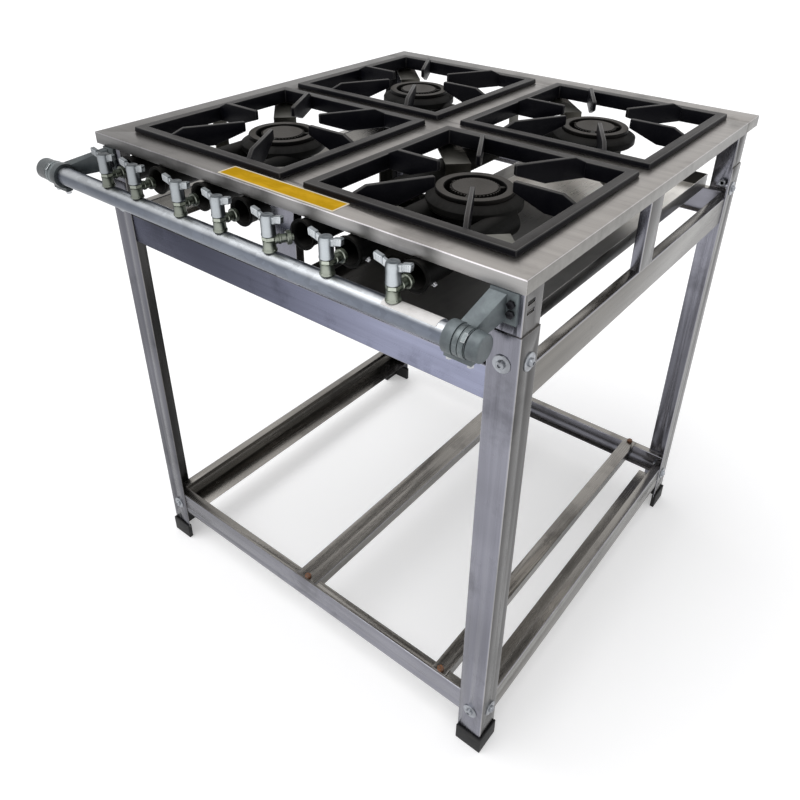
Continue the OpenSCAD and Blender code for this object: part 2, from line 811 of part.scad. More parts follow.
// The lift-off head: ring and centre disc, joined in the flame slot by three webs, one of them full height
module burner_head(n) {
    c = burner_at(SIDES[n]);
    top = head_t - gap;
    slot_out = disc_r + slot_w;
    color(iron) translate([c[0], c[1], body_top + gap]) {
        rotate_extrude($fn = 96) polygon([
            [slot_out, 0], [ring_r, 0], [ring_r, top - 1], [ring_r - 1, top], [slot_out, top]]);
        rotate_extrude($fn = 96)
            polygon([[0, 0], [disc_r, 0], [disc_r, top - 1], [disc_r - 1, top], [0, top]]);
        for (web = WEBS)
            rotate([0, 0, web[0]]) translate([disc_r - 2, -web_w / 2, 0]) cube([slot_w + 4, web_w, web[1]]);
    }
}

// One of six fingers, a plate on edge from the rim towards the burner's axis
module finger(turn) {
    edge = (grate_w / 2 - rim_w) / max(abs(cos(turn)), abs(sin(turn)));
    rim_top = table_h + rim_h;
    top = rim_top + finger_rise;
    low = table_h - grate_lip_h;
    rotate([90, 0, turn]) translate([0, 0, -finger_t / 2]) linear_extrude(finger_t) polygon([
        [finger_tip_r, top - finger_tip_h], [finger_tip_r, top - 1], [finger_tip_r + 2, top],
        [edge - finger_slope, top], [edge + finger_seat, rim_top],
        [edge + finger_seat, low], [finger_low_r, low]]);
}

module grate(n) {
    c = burner_at(SIDES[n]) + GRATE_SHIFT[n];
    outer = grate_w;
    inner = grate_w - 2 * rim_w;
    color(iron) translate([c[0], c[1], 0]) {
        difference() {
            union() {
                translate([0, 0, table_h + gap]) linear_extrude(rim_h - gap) square(outer, center = true);
                translate([0, 0, table_h - grate_lip_h]) linear_extrude(grate_lip_h + 1)
                    square(inner + 2 * grate_lip, center = true);
            }
            translate([0, 0, table_h - 2 * grate_lip_h])
                linear_extrude(4 * grate_lip_h) square(inner, center = true);
        }
        for (turn = [0 : 60 : 300])
            finger(turn);
    }
}

module drip_tray() {
    mid = (mid_post_x + mid_post_w / 2 + stand_right - angle_w) / 2;
    low = [mid - tray_w / 2, stand_front + tray_setback, upper_ring_top + gap];
    size = [tray_w, tray_len, tray_h];
    wall = [tray_t, tray_t, tray_t];
    color(steel) difference() {
        block(low, low + size);
        block(low + wall, low + size + [-tray_t, -tray_t, cut]);
    }
}

// A blank plate on the table's front edge and a blank label on the front of the pipe
module front_plates() {
    color(yellow) translate([plate_mid[0] - plate_len / 2, plate_mid[1] - plate_w / 2, table_h])
        cube([plate_len, plate_w, plate_t]);
    color("white") difference() {
        along_pipe(label_x - label_len / 2, label_x + label_len / 2, pipe_r + skin + plate_t);
        along_pipe(label_x - label_len, label_x + label_len, pipe_r + skin);
        translate([label_x - label_len, pipe_y - label_half_h, pipe_z - 2 * pipe_r])
            cube([2 * label_len, 3 * pipe_r, 4 * pipe_r]);
    }
}

translate(to_origin) table_frame();
translate(to_origin) table_rear_bar();
translate(to_origin) corner_post(SIDES[0]);  // corner_post_front_left
translate(to_origin) corner_post(SIDES[1]);  // corner_post_front_right
translate(to_origin) corner_post(SIDES[2]);  // corner_post_rear_left
translate(to_origin) corner_post(SIDES[3]);  // corner_post_rear_right
translate(to_origin) middle_post_front();
translate(to_origin) middle_post_right();
translate(to_origin) upper_rail("front");  // upper_rail_front
translate(to_origin) upper_rail("rear");  // upper_rail_rear
translate(to_origin) upper_rail("left");  // upper_rail_left
translate(to_origin) upper_rail("right");  // upper_rail_right
translate(to_origin) leg(SIDES[0]);  // leg_front_left
translate(to_origin) leg(SIDES[1]);  // leg_front_right
translate(to_origin) leg(SIDES[2]);  // leg_rear_left
translate(to_origin) leg(SIDES[3]);  // leg_rear_right
translate(to_origin) foot(SIDES[0]);  // foot_front_left
translate(to_origin) foot(SIDES[1]);  // foot_front_right
translate(to_origin) foot(SIDES[2]);  // foot_rear_left
translate(to_origin) foot(SIDES[3]);  // foot_rear_right
translate(to_origin) lower_rail("front");  // lower_rail_front
translate(to_origin) lower_rail("rear");  // lower_rail_rear
translate(to_origin) lower_rail("left");  // lower_rail_left
translate(to_origin) lower_rail("right");  // lower_rail_right
translate(to_origin) cross_bar_middle();
translate(to_origin) cross_bar_right();
translate(to_origin) leg_bolts();
translate(to_origin) leg_washers();
translate(to_origin) leg_nuts();
translate(to_origin) cross_bar_bolts();
translate(to_origin) gas_pipe();
translate(to_origin) pipe_caps();
translate(to_origin) pipe_arm(0);  // pipe_arm_left
translate(to_origin) pipe_arm(1);  // pipe_arm_right
translate(to_origin) pipe_clamps();
translate(to_origin) arm_bolts();
translate(to_origin) valve_bodies();
translate(to_origin) gas_jets();
translate(to_origin) tap(0);  // tap_1
translate(to_origin) tap(1);  // tap_2
translate(to_origin) tap(2);  // tap_3
translate(to_origin) tap(3);  // tap_4
translate(to_origin) tap(4);  // tap_5
translate(to_origin) tap(5);  // tap_6
translate(to_origin) tap(6);  // tap_7
translate(to_origin) burner_straps();
translate(to_origin) burner_body(0);  // burner_body_front_left
translate(to_origin) burner_body(1);  // burner_body_front_right
translate(to_origin) burner_body(2);  // burner_body_rear_left
translate(to_origin) burner_body(3);  // burner_body_rear_right
translate(to_origin) burner_head(0);  // burner_head_front_left
translate(to_origin) burner_head(1);  // burner_head_front_right
translate(to_origin) burner_head(2);  // burner_head_rear_left
translate(to_origin) burner_head(3);  // burner_head_rear_right
translate(to_origin) grate(0);  // grate_front_left
translate(to_origin) grate(1);  // grate_front_right
translate(to_origin) grate(2);  // grate_rear_left
translate(to_origin) grate(3);  // grate_rear_right
translate(to_origin) drip_tray();
translate(to_origin) front_plates();
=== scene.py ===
"""Commercial four-burner gas stove: stainless table on a bolted stand, cast grates and seven wing taps."""

import json
import math

import bpy
from mathutils import Matrix, Vector


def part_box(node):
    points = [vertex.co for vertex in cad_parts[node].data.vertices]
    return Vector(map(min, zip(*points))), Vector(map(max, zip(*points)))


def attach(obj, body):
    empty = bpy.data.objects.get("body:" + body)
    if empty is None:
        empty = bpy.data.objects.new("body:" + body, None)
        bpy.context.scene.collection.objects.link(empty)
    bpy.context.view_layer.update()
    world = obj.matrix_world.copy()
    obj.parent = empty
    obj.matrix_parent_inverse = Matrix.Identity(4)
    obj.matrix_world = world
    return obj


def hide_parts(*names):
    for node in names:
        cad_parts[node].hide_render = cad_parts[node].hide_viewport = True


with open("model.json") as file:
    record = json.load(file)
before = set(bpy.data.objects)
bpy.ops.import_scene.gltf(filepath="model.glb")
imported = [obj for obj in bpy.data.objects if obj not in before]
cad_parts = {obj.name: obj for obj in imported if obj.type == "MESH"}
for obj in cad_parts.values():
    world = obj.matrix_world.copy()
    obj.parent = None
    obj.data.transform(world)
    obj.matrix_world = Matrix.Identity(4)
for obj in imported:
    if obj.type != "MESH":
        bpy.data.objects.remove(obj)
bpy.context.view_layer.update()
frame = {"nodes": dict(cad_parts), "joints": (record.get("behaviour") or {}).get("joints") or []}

MM = 0.001
TURN = 2 * math.pi
ORIGIN = (0, 0, 0)
UP = (0, 0, 1)
CORNERS = ("front_left", "front_right", "rear_left", "rear_right")
SIDES = ("front", "rear", "left", "right")

# Corners closer than this are merged: in a drawn line, in a spun or filled piece, in a copy of a CAD shape
LINE_WELD = 1e-6
PIECE_WELD = 2e-6
COPY_WELD = 1e-5
# Two places this close are on the same face or edge
SAME = 1e-4
# Faces that meet at less than this many degrees become one
FLAT_ANGLE = 0.8

# Places taken from the frame: the table's middle and its top face
TABLE_HALF = 360 * MM
table_low, table_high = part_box("table_frame")
TABLE_MID_X = (table_low.x + table_high.x) / 2
TABLE_MID_Y = table_low.y + TABLE_HALF
TABLE_TOP = table_high.z


def stove(x, y, z):
    """A place in millimetres from the table's middle on the floor, in the frame's metres."""
    return Vector((TABLE_MID_X + x * MM, TABLE_MID_Y + y * MM, z * MM))


# Hand work: every piece is started, shaped and finished with these few moves

def deselect():
    if bpy.context.object and bpy.context.object.mode != "OBJECT":
        bpy.ops.object.mode_set(mode="OBJECT")
    bpy.ops.object.select_all(action="DESELECT")


def take(piece):
    """Makes one piece the selected and active one."""
    deselect()
    piece.select_set(True)
    bpy.context.view_layer.objects.active = piece


def settle(piece):
    """Puts a piece's place, turn and size into its mesh."""
    take(piece)
    bpy.ops.object.transform_apply(location=True, rotation=True, scale=True)
    return piece


def named(name):
    piece = bpy.context.object
    piece.name = name
    piece.data.name = name
    return settle(piece)


def edit(piece, part="FACE", rule=None):
    """Opens a piece with all of it selected, or only the faces, edges or corners that the rule accepts."""
    take(piece)
    bpy.ops.object.mode_set(mode="EDIT")
    bpy.ops.mesh.select_mode(type=part)
    if rule is None:
        bpy.ops.mesh.select_all(action="SELECT")
        return
    bpy.ops.mesh.select_all(action="DESELECT")
    bpy.ops.object.mode_set(mode="OBJECT")
    mesh = piece.data
    chosen = {"FACE": mesh.polygons, "EDGE": mesh.edges, "VERT": mesh.vertices}[part]
    for item in chosen:
        item.select = bool(rule(item))
    bpy.ops.object.mode_set(mode="EDIT")


def close():
    bpy.ops.object.mode_set(mode="OBJECT")


def draw(name, points, closed=True):
    """A line drawn by extruding one corner from place to place."""
    deselect()
    bpy.ops.mesh.primitive_plane_add(size=2 * MM, location=points[0])
    line = named(name)
    edit(line, "VERT")
    bpy.ops.mesh.merge(type="CENTER")
    route = list(points) + ([points[0]] if closed else [])
    for start, end in zip(route, route[1:]):
        step = Vector(end) - Vector(start)
        bpy.ops.mesh.extrude_region_move(TRANSFORM_OT_translate={"value": step})
    bpy.ops.mesh.select_all(action="SELECT")
    bpy.ops.mesh.remove_doubles(threshold=LINE_WELD)
    close()
    return line


def plate(name, points, thickness):
    """A flat outline filled and pulled to a thickness, given as a vector."""
    piece = draw(name, points)
    edit(piece, "EDGE")
    bpy.ops.mesh.edge_face_add()
    bpy.ops.mesh.select_mode(type="FACE")
    bpy.ops.mesh.select_all(action="SELECT")
    bpy.ops.mesh.extrude_region_move(TRANSFORM_OT_translate={"value": thickness})
    tidy_open(piece)
    return piece


def tidy_open(piece):
    """Merges doubles and turns the faces outwards, then closes the piece."""
    bpy.ops.mesh.select_all(action="SELECT")
    bpy.ops.mesh.remove_doubles(threshold=PIECE_WELD)
    bpy.ops.mesh.normals_make_consistent(inside=False)
    close()


def spun(name, profile, axis_at, axis, steps, closed=False):
    """A profile drawn in the frame and spun all the way round an axis."""
    piece = draw(name, profile, closed)
    edit(piece, "EDGE")
    bpy.ops.mesh.spin(steps=steps, angle=TURN, center=axis_at, axis=axis)
    tidy_open(piece)
    return piece


def block(name, low, high):
    """A cube primitive at its size and place."""
    low, high = Vector(low), Vector(high)
    deselect()
    bpy.ops.mesh.primitive_cube_add(size=1, location=(low + high) / 2, scale=high - low)
    return named(name)


def hexagon(name, bottom, radius, height):
    """A six-sided nut round the Z axis, in millimetres."""
    middle = (0, 0, (bottom + height / 2) * MM)
    deselect()
    bpy.ops.mesh.primitive_cylinder_add(vertices=6, radius=radius * MM, depth=height * MM, location=middle)
    return named(name)


FACE_SLOT = bpy.data.materials.new("face_slot")
EDGE_SLOT = bpy.data.materials.new("edge_slot")


def soften(piece, width, segments=2, angle=30):
    """Rounds the edges that are sharper than an angle; the rounded edges take the piece's second finish."""
    take(piece)
    if len(piece.data.materials) < 2:
        piece.data.materials.append(FACE_SLOT)
        piece.data.materials.append(EDGE_SLOT)
    rounding = piece.modifiers.new("rounding", "BEVEL")
    rounding.width = width
    rounding.segments = segments
    rounding.limit_method = "ANGLE"
    rounding.angle_limit = math.radians(angle)
    rounding.material = 1
    bpy.ops.object.modifier_apply(modifier=rounding.name)
    return piece


def smooth(piece, angle=35):
    take(piece)
    bpy.ops.object.shade_smooth_by_angle(angle=math.radians(angle))
    return piece


def copied(piece, name, move):
    """A copy with its own mesh, moved by a matrix."""
    twin = bpy.data.objects.new(name, piece.data.copy())
    twin.data.name = name
    bpy.context.scene.collection.objects.link(twin)
    twin.data.transform(move)
    return twin


def joined(name, pieces):
    """Several parts as one piece."""
    deselect()
    for piece in pieces:
        piece.select_set(True)
    bpy.context.view_layer.objects.active = pieces[0]
    if len(pieces) > 1:
        bpy.ops.object.join()
    return named(name)


def about(place, axis, degrees):
    """A turn about an axis through a place."""
    place = Vector(place)
    turn = Matrix.Rotation(math.radians(degrees), 4, axis)
    return Matrix.Translation(place) @ turn @ Matrix.Translation(-place)


def show(piece, finish, body, stands_for=(), edge=None):
    """Gives a piece its finish, that of its rounded edges, its body, slot and the nodes it stands for."""
    slots = piece.data.materials
    if len(slots) < 1:
        slots.append(finish)
    for index in range(len(slots)):
        slots[index] = edge if edge and index == 1 else finish
    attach(piece, body)
    if stands_for:
        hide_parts(*stands_for)
    return piece


def eased(node, width, fold=0, outer=None, segments=2):
    """A copy of a node's shape with whole faces and rounded edges.

    Fold is the wider rounding of the edges that the rule called outer accepts."""
    deselect()
    piece = bpy.data.objects.new(node + "_eased", frame["nodes"][node].data.copy())
    piece.data.materials.clear()
    piece.data.materials.append(FACE_SLOT)
    piece.data.materials.append(EDGE_SLOT)
    bpy.context.scene.collection.objects.link(piece)
    edit(piece)
    bpy.ops.mesh.customdata_custom_splitnormals_clear()
    bpy.ops.mesh.remove_doubles(threshold=COPY_WELD)
    bpy.ops.mesh.dissolve_limited(angle_limit=math.radians(FLAT_ANGLE))
    close()
    if fold:
        mesh = piece.data
        edit(piece, "EDGE", lambda edge: outer(*[mesh.vertices[v].co for v in edge.vertices]))
        bpy.ops.mesh.bevel(offset=fold, segments=3, affect="EDGES", clamp_overlap=True, material=1)
        close()
    soften(piece, width, segments)
    return smooth(piece)


# Finishes

class Signal:
    """A number that changes over a surface; arithmetic on it adds Math nodes."""

    def __init__(self, finish, socket):
        self.finish = finish
        self.socket = socket

    def work(self, operation, first, second):
        return self.finish.node("ShaderNodeMath", {"operation": operation}, {0: first, 1: second})

    def __add__(self, other):
        return self.work("ADD", self, other)

    def __radd__(self, other):
        return self.work("ADD", other, self)

    def __sub__(self, other):
        return self.work("SUBTRACT", self, other)

    def __mul__(self, other):
        return self.work("MULTIPLY", self, other)

    def __rmul__(self, other):
        return self.work("MULTIPLY", other, self)

    def __abs__(self):
        return self.finish.node("ShaderNodeMath", {"operation": "ABSOLUTE"}, {0: self})


class Finish:
    """A material on a Principled shader, built up from grain, tone, wear and relief."""

    def __init__(self, name, **uniform):
        self.material = bpy.data.materials.new(name)
        self.material.use_nodes = True
        self.tree = self.material.node_tree
        self.shader = self.tree.nodes["Principled BSDF"]
        for socket, value in uniform.items():
            self.shader.inputs[socket.replace("_", " ")].default_value = value
        self.place = self.node("ShaderNodeTexCoord", output="Object")
        self.facing = self.node("ShaderNodeTexCoord", output="Normal")

    def node(self, kind, settings=None, inputs=None, output=0):
        """Adds a node: its settings first, then the values or links of its sockets; gives one output."""
        made = self.tree.nodes.new(kind)
        for key, value in (settings or {}).items():
            if key == "stops":
                while len(made.color_ramp.elements) < len(value):
                    made.color_ramp.elements.new(0.5)
                for stop, (position, shade) in zip(made.color_ramp.elements, value):
                    stop.position = position
                    stop.color = (*shade, 1)
            else:
                setattr(made, key, value)
        for key, value in (inputs or {}).items():
            if isinstance(value, Signal):
                self.tree.links.new(value.socket, made.inputs[key])
            else:
                made.inputs[key].default_value = value
        return Signal(self, made.outputs[output])

    def feed(self, socket, value):
        self.tree.links.new(value.socket, self.shader.inputs[socket])

    def stretched(self, x, y, z):
        """The place on the piece, drawn out differently along each direction."""
        return self.node("ShaderNodeMapping", inputs={"Vector": self.place, "Scale": (x, y, z)})

    def noise(self, where, detail=3, roughness=0.55):
        return self.node("ShaderNodeTexNoise", inputs={
            "Vector": where, "Scale": 1, "Detail": detail, "Roughness": roughness}, output="Fac")

    def ramp(self, value, low, high, start=0, end=1):
        """A value stretched from low..high to start..end and held there."""
        return self.node("ShaderNodeMapRange", {"interpolation_type": "SMOOTHSTEP"}, {
            "Value": value, "From Min": low, "From Max": high, "To Min": start, "To Max": end})

    def blend(self, mask, dark, light):
        """Two colours, or a colour and a link, mixed by a mask."""
        return self.node("ShaderNodeMix", {"data_type": "RGBA"}, {
            "Factor": mask, 6: dark if isinstance(dark, Signal) else (*dark, 1),
            7: light if isinstance(light, Signal) else (*light, 1)}, output=2)

    def part(self, vector, axis):
        return self.node("ShaderNodeSeparateXYZ", inputs={0: vector}, output=axis)

    def scaled(self, colour, by):
        """A colour made lighter or darker by a number or a signal."""
        return self.node("ShaderNodeVectorMath", {"operation": "SCALE"}, {0: colour, "Scale": by})

    def faces(self, axis):
        """High on the faces that look along X, Y or Z, either way."""
        way = self.part(self.facing, "XYZ".index(axis))
        return self.ramp(abs(way), 0.6, 0.9)

    def upward(self, low, high):
        """High on what looks up."""
        return self.ramp(self.part(self.facing, 2), low, high)

    def relief(self, height, strength, distance):
        self.feed("Normal", self.node("ShaderNodeBump", inputs={
            "Height": height, "Strength": strength, "Distance": distance}))


def grain(finish, along, fine=1400, long=9):
    """Brushing lines that run along X, Y or Z."""
    scale = [fine, fine, fine]
    scale["XYZ".index(along)] = long
    return finish.noise(finish.stretched(*scale), detail=2)


def steel(name, along, front, side, top, rough, band=5.0, painted_light_drift=(0, 0), span=(-0.36, 0.30), way=0,
          glance=(1, 1, 1, 1)):
    """Stainless sheet: a painted reflection tone for each way a face looks, brushing along its length, soft
    painted reflection stripes and smudges.

    Along X or Y (way), the tone gets lighter or darker from one end of a span to the other: a painted
    reflection gradient.
    Glance is the tint of what the sheet mirrors at a shallow angle."""
    f = Finish(name, Metallic=1.0, Specular_Tint=glance)
    lines = grain(f, along)
    # Soft lighter and darker stripes along the length are painted reflections
    scale = [0.6, 0.6, 0.6]
    scale["XYZ".index(along)] = band
    bands = f.ramp(f.noise(f.stretched(*scale), detail=2, roughness=0.4), 0.34, 0.68)
    smudge = f.noise(f.stretched(11, 11, 11), detail=5, roughness=0.62)
    streaks = f.noise(f.stretched(*[3 if c == along else 90 for c in "XYZ"]), detail=3, roughness=0.6)
    # Painted reflections: faces that look to the front, to the side and up each take their own tone, as lit
    # and shaded copies of one steel
    tone = f.blend(f.faces("X"), front, side)
    tone = f.blend(f.faces("Z"), tone, top)
    shade = 0.80 + 0.34 * bands - 0.16 * (lines - 0.5)
    shade = shade - 0.34 * f.ramp(smudge, 0.52, 0.72) + 0.5 * (streaks - 0.5)
    # Painted reflection gradient: lighter or darker from one end of the span to the other
    if painted_light_drift[0] != painted_light_drift[1]:
        shade = shade * f.ramp(f.part(f.place, way), *span, 1 + painted_light_drift[0], 1 + painted_light_drift[1])
    f.feed("Base Color", f.scaled(tone, shade))
    f.feed("Roughness", rough + 0.16 * (smudge - 0.5) + 0.1 * (lines - 0.5))
    f.relief(lines, 0.035, 0.0006)
    return f.material


def cast_iron(name, dark, light, top, rough, gloss):
    """Black cast iron: sandy skin, greasy patches, and painted light on the faces that look up."""
    f = Finish(name, Specular_IOR_Level=gloss)
    sand = f.noise(f.stretched(420, 420, 420), detail=4, roughness=0.7)
    patch = f.noise(f.stretched(16, 16, 16), detail=4, roughness=0.6)
    tone = f.blend(f.ramp(patch, 0.4, 0.68), dark, light)
    # Painted light: faces that look up take the lighter top tone, in patches
    tone = f.blend(f.upward(0.7, 0.98) * f.ramp(patch, 0.25, 0.6, 0.6, 1), tone, top)
    f.feed("Base Color", f.scaled(tone, 0.8 + 0.4 * sand))
    f.feed("Roughness", rough + 0.22 * (patch - 0.5) + 0.12 * (sand - 0.5))
    f.relief(sand, 0.35, 0.0007)
    return f.material


def cast_metal(name, dark, light, rough, pit=600, front=None, painted_shade_along_x=(1, 1)):
    """Cast or plated metal with a fine pitted skin and duller hollows.

    Front is a painted highlight, the tone where it faces the front; painted shade sets how light it is at the
    left end and at the right."""
    f = Finish(name, Metallic=0.9)
    pits = f.noise(f.stretched(pit, pit, pit), detail=3, roughness=0.6)
    patch = f.noise(f.stretched(60, 60, 60), detail=4, roughness=0.6)
    tone = f.blend(f.ramp(patch, 0.35, 0.68), dark, light)
    if front:
        # Painted highlight on the faces that look to the front
        ahead = 0.5 * f.part(f.facing, 0) - 0.84 * f.part(f.facing, 1) + 0.2 * f.part(f.facing, 2)
        tone = f.blend(f.ramp(ahead, 0.58, 0.99), tone, front)
    shade = 1.0 + 0.3 * (pits - 0.5)
    # Painted shade: darker towards the left end
    if painted_shade_along_x[0] != painted_shade_along_x[1]:
        shade = shade * f.ramp(f.part(f.place, 0), -0.32, 0.25, *painted_shade_along_x)
    f.feed("Base Color", f.scaled(tone, shade))
    f.feed("Roughness", rough + 0.25 * (patch - 0.5))
    f.relief(pits, 0.18, 0.0005)
    return f.material


def green_paint(name, dark, light):
    """Grey-green enamel on cast brackets and caps, a little chalky, with painted shade darker towards the
    left and painted light on the faces that look up.
    """
    f = Finish(name, Metallic=0.2, Specular_IOR_Level=0.4)
    patch = f.noise(f.stretched(45, 45, 45), detail=5, roughness=0.65)
    orange_peel = f.noise(f.stretched(500, 500, 500), detail=2)
    tone = f.blend(f.ramp(patch, 0.35, 0.7), dark, light)
    # Painted shade darker towards the left end, and painted light on the faces that look up
    painted_shade_along_x = f.ramp(f.part(f.place, 0), -0.35, 0.25, 0.55, 1.3)
    f.feed("Base Color", f.scaled(tone, painted_shade_along_x * (0.9 + 0.3 * (f.upward(-0.2, 0.9) - 0.3))))
    f.feed("Roughness", 0.4 + 0.3 * (patch - 0.5))
    f.relief(orange_peel, 0.12, 0.0005)
    return f.material


def clamp_finish(screw_top):
    """Painted bands whose screws, below a height, are bright zinc."""
    f = Finish("painted_clamp", Metallic=0.6, Specular_IOR_Level=0.4)
    patch = f.noise(f.stretched(120, 120, 120), detail=4, roughness=0.6)
    band = f.blend(f.ramp(patch, 0.35, 0.7), (0.12, 0.14, 0.148), (0.18, 0.205, 0.21))
    screw = f.blend(f.ramp(patch, 0.35, 0.7), (0.46, 0.47, 0.49), (0.66, 0.67, 0.69))
    f.feed("Base Color", f.blend(f.ramp(f.part(f.place, 2), screw_top - 1.0 * MM, screw_top), screw, band))
    f.feed("Roughness", 0.36 + 0.2 * (patch - 0.5))
    f.relief(patch, 0.1, 0.0005)
    return f.material


def galvanised():
    """Galvanised pipe: zinc flowers, lines along it, a painted highlight band on its upper front, and painted
    shade darker to the left.
    """
    f = Finish("galvanised_pipe", Metallic=0.9)
    patches = f.stretched(90, 130, 130)
    flowers = f.node("ShaderNodeTexVoronoi", inputs={"Vector": patches, "Scale": 1.0}, output="Color")
    flower = f.node("ShaderNodeSeparateColor", inputs={0: flowers}, output=0)
    rub = f.noise(f.stretched(6, 40, 40), detail=5, roughness=0.6)
    lines = grain(f, "X", 900, 14)
    tone = f.blend(f.ramp(rub, 0.35, 0.7), (0.14, 0.157, 0.195), (0.19, 0.21, 0.248))
    # Painted highlight: a bright band on the faces that look up and to the front
    sheen = 0.87 * f.part(f.facing, 2) - 0.5 * f.part(f.facing, 1)
    painted_highlight_band = f.ramp(sheen, 0.84, 1.0)
    tone = f.blend(painted_highlight_band * f.ramp(rub, 0.2, 0.55, 0.7, 1), tone, (0.50, 0.52, 0.545))
    # Painted shade: darker towards the left end
    lit = f.ramp(f.part(f.place, 0), -0.40, 0.15, 0.68, 1.04)
    f.feed("Base Color", f.scaled(tone, lit * (0.9 + 0.18 * flower + 0.1 * (lines - 0.5))))
    f.feed("Roughness", 0.3 + 0.2 * (rub - 0.5) + 0.08 * flower)
    f.relief(lines + flower * 0.5, 0.06, 0.0005)
    return f.material


def rubber():
    f = Finish("rubber_boot", Specular_IOR_Level=0.3)
    dust = f.noise(f.stretched(70, 70, 160), detail=5, roughness=0.7)
    skin = f.noise(f.stretched(700, 700, 700), detail=3)
    tone = f.blend(f.ramp(dust, 0.45, 0.75), (0.008, 0.008, 0.009), (0.03, 0.029, 0.027))
    f.feed("Base Color", tone)
    f.feed("Roughness", 0.6 + 0.25 * (dust - 0.5))
    f.relief(skin, 0.2, 0.0004)
    return f.material


def rusty():
    f = Finish("rusty_steel", Metallic=0.35)
    bloom = f.noise(f.stretched(320, 320, 320), detail=6, roughness=0.7)
    tone = f.node("ShaderNodeValToRGB", {"stops": [
        (0.3, (0.16, 0.15, 0.14)), (0.5, (0.14, 0.06, 0.03)), (0.62, (0.30, 0.13, 0.05)),
        (0.8, (0.09, 0.035, 0.02))]}, {"Fac": bloom})
    f.feed("Base Color", tone)
    f.feed("Roughness", 0.55 + 0.5 * (bloom - 0.5))
    f.relief(bloom, 0.5, 0.0006)
    return f.material


def yellow_plate(low, high):
    """A blank yellow plate with a white margin, scuffed where pans slide over it."""
    f = Finish("yellow_plate", Specular_IOR_Level=0.0)
    middle = (low + high) / 2
    half = (high - low) / 2
    across = abs(f.part(f.place, 0) - middle.x)
    down = abs(f.part(f.place, 1) - middle.y)
    inner_edge = 2.4 * MM
    outer_edge = 2.0 * MM
    margin_x = f.ramp(across, half.x - inner_edge, half.x - outer_edge)
    margin_y = f.ramp(down, half.y - inner_edge, half.y - outer_edge)
    margin = margin_x.work("MAXIMUM", margin_x, margin_y)
    stain = f.noise(f.stretched(30, 60, 30), detail=5, roughness=0.6)
    scuff = f.noise(f.stretched(40, 700, 40), detail=3)
    tone = f.blend(f.ramp(stain, 0.35, 0.7), (0.47, 0.27, 0.010), (0.62, 0.36, 0.020))
    tone = f.blend(margin, tone, (0.72, 0.66, 0.52))
    tone = f.blend(f.ramp(scuff, 0.62, 0.78) * 0.3, tone, (0.33, 0.20, 0.02))
    f.feed("Base Color", tone)
    f.feed("Roughness", 0.32 + 0.3 * (stain - 0.5))
    f.relief(scuff, 0.05, 0.0003)
    return f.material


def white_label():
    f = Finish("white_label", Specular_IOR_Level=0.4)
    stain = f.noise(f.stretched(50, 90, 90), detail=5, roughness=0.6)
    crease = f.noise(f.stretched(300, 80, 80), detail=3)
    tone = f.blend(f.ramp(stain, 0.4, 0.75), (0.80, 0.78, 0.77), (0.66, 0.64, 0.62))
    f.feed("Base Color", tone)
    f.feed("Roughness", 0.4 + 0.3 * (stain - 0.5))
    f.relief(crease, 0.08, 0.0003)
    return f.material


# Painted reflection tones: a lit front, a shaded side, a lit top, and a painted highlight for the stand's
# folds
LILAC_LIT_FRONT = (0.225, 0.226, 0.26)
OLIVE_SHADED_SIDE = (0.088, 0.086, 0.085)
WARM_LIT_TOP = (0.30, 0.285, 0.265)
FOLD_HIGHLIGHT = (0.30, 0.30, 0.335)

# Each steel below has painted reflection tones: lit front and top faces, shaded sides, and painted reflection
# gradients from one end to the other
table_finish = steel("table_sheet", "X", (0.33, 0.322, 0.316), (0.205, 0.20, 0.19), (0.305, 0.287, 0.272),
                     rough=0.36, band=3.0, painted_light_drift=(-0.5, 0.17))
# Painted highlight along the table's outer fold
table_fold_highlight = steel("table_fold_highlight", "X", (0.78, 0.75, 0.77), (0.21, 0.205, 0.195), (0.30, 0.285, 0.275),
                   rough=0.3, painted_light_drift=(-0.6, 0.1), span=(-0.3, 0.2))
strap_finish = steel("strap_sheet", "X", (0.12, 0.115, 0.10), (0.10, 0.098, 0.085), (0.14, 0.136, 0.12),
                     rough=0.34, band=9.0)
# Painted highlight on the straps' folds
strap_fold_highlight = steel("strap_fold_highlight", "X", (0.3, 0.29, 0.26), (0.26, 0.25, 0.22), (0.34, 0.33, 0.3), rough=0.3)
upright = steel("upright_steel", "Z", LILAC_LIT_FRONT, OLIVE_SHADED_SIDE, WARM_LIT_TOP, rough=0.26, band=6.0, painted_light_drift=(-0.5, 0.03))
upper_front = steel("upper_front_steel", "X", (0.21, 0.22, 0.295), OLIVE_SHADED_SIDE, (0.08, 0.076, 0.085), rough=0.26,
                    band=2.0, painted_light_drift=(-0.80, 0.42), span=(-0.16, 0.36), glance=(0.76, 0.77, 0.86, 1))
# Painted fold tones for the upper front rail: a dim painted highlight, kept darker than the other folds as
# painted shade under the pipe
upper_front_fold_painted = steel("upper_front_fold_painted", "X", (0.24, 0.24, 0.28), OLIVE_SHADED_SIDE, (0.12, 0.12, 0.14), rough=0.26,
                         painted_light_drift=(-0.80, 0.3), span=(-0.16, 0.36))
lengthwise = steel("front_rail_steel", "X", (0.225, 0.225, 0.255), OLIVE_SHADED_SIDE, WARM_LIT_TOP, rough=0.26, band=3.0,
                   painted_light_drift=(-0.35, 0.12))
crosswise = steel("side_rail_steel", "Y", (0.23, 0.225, 0.23), (0.175, 0.168, 0.156), (0.27, 0.256, 0.238),
                  rough=0.26, band=4.0)
# Painted highlight on the stand's folds
stand_fold_highlight = steel("stand_fold_highlight", "Z", FOLD_HIGHLIGHT, (0.36, 0.35, 0.345), FOLD_HIGHLIGHT, rough=0.25, band=4.0,
                   painted_light_drift=(-0.5, 0.05))
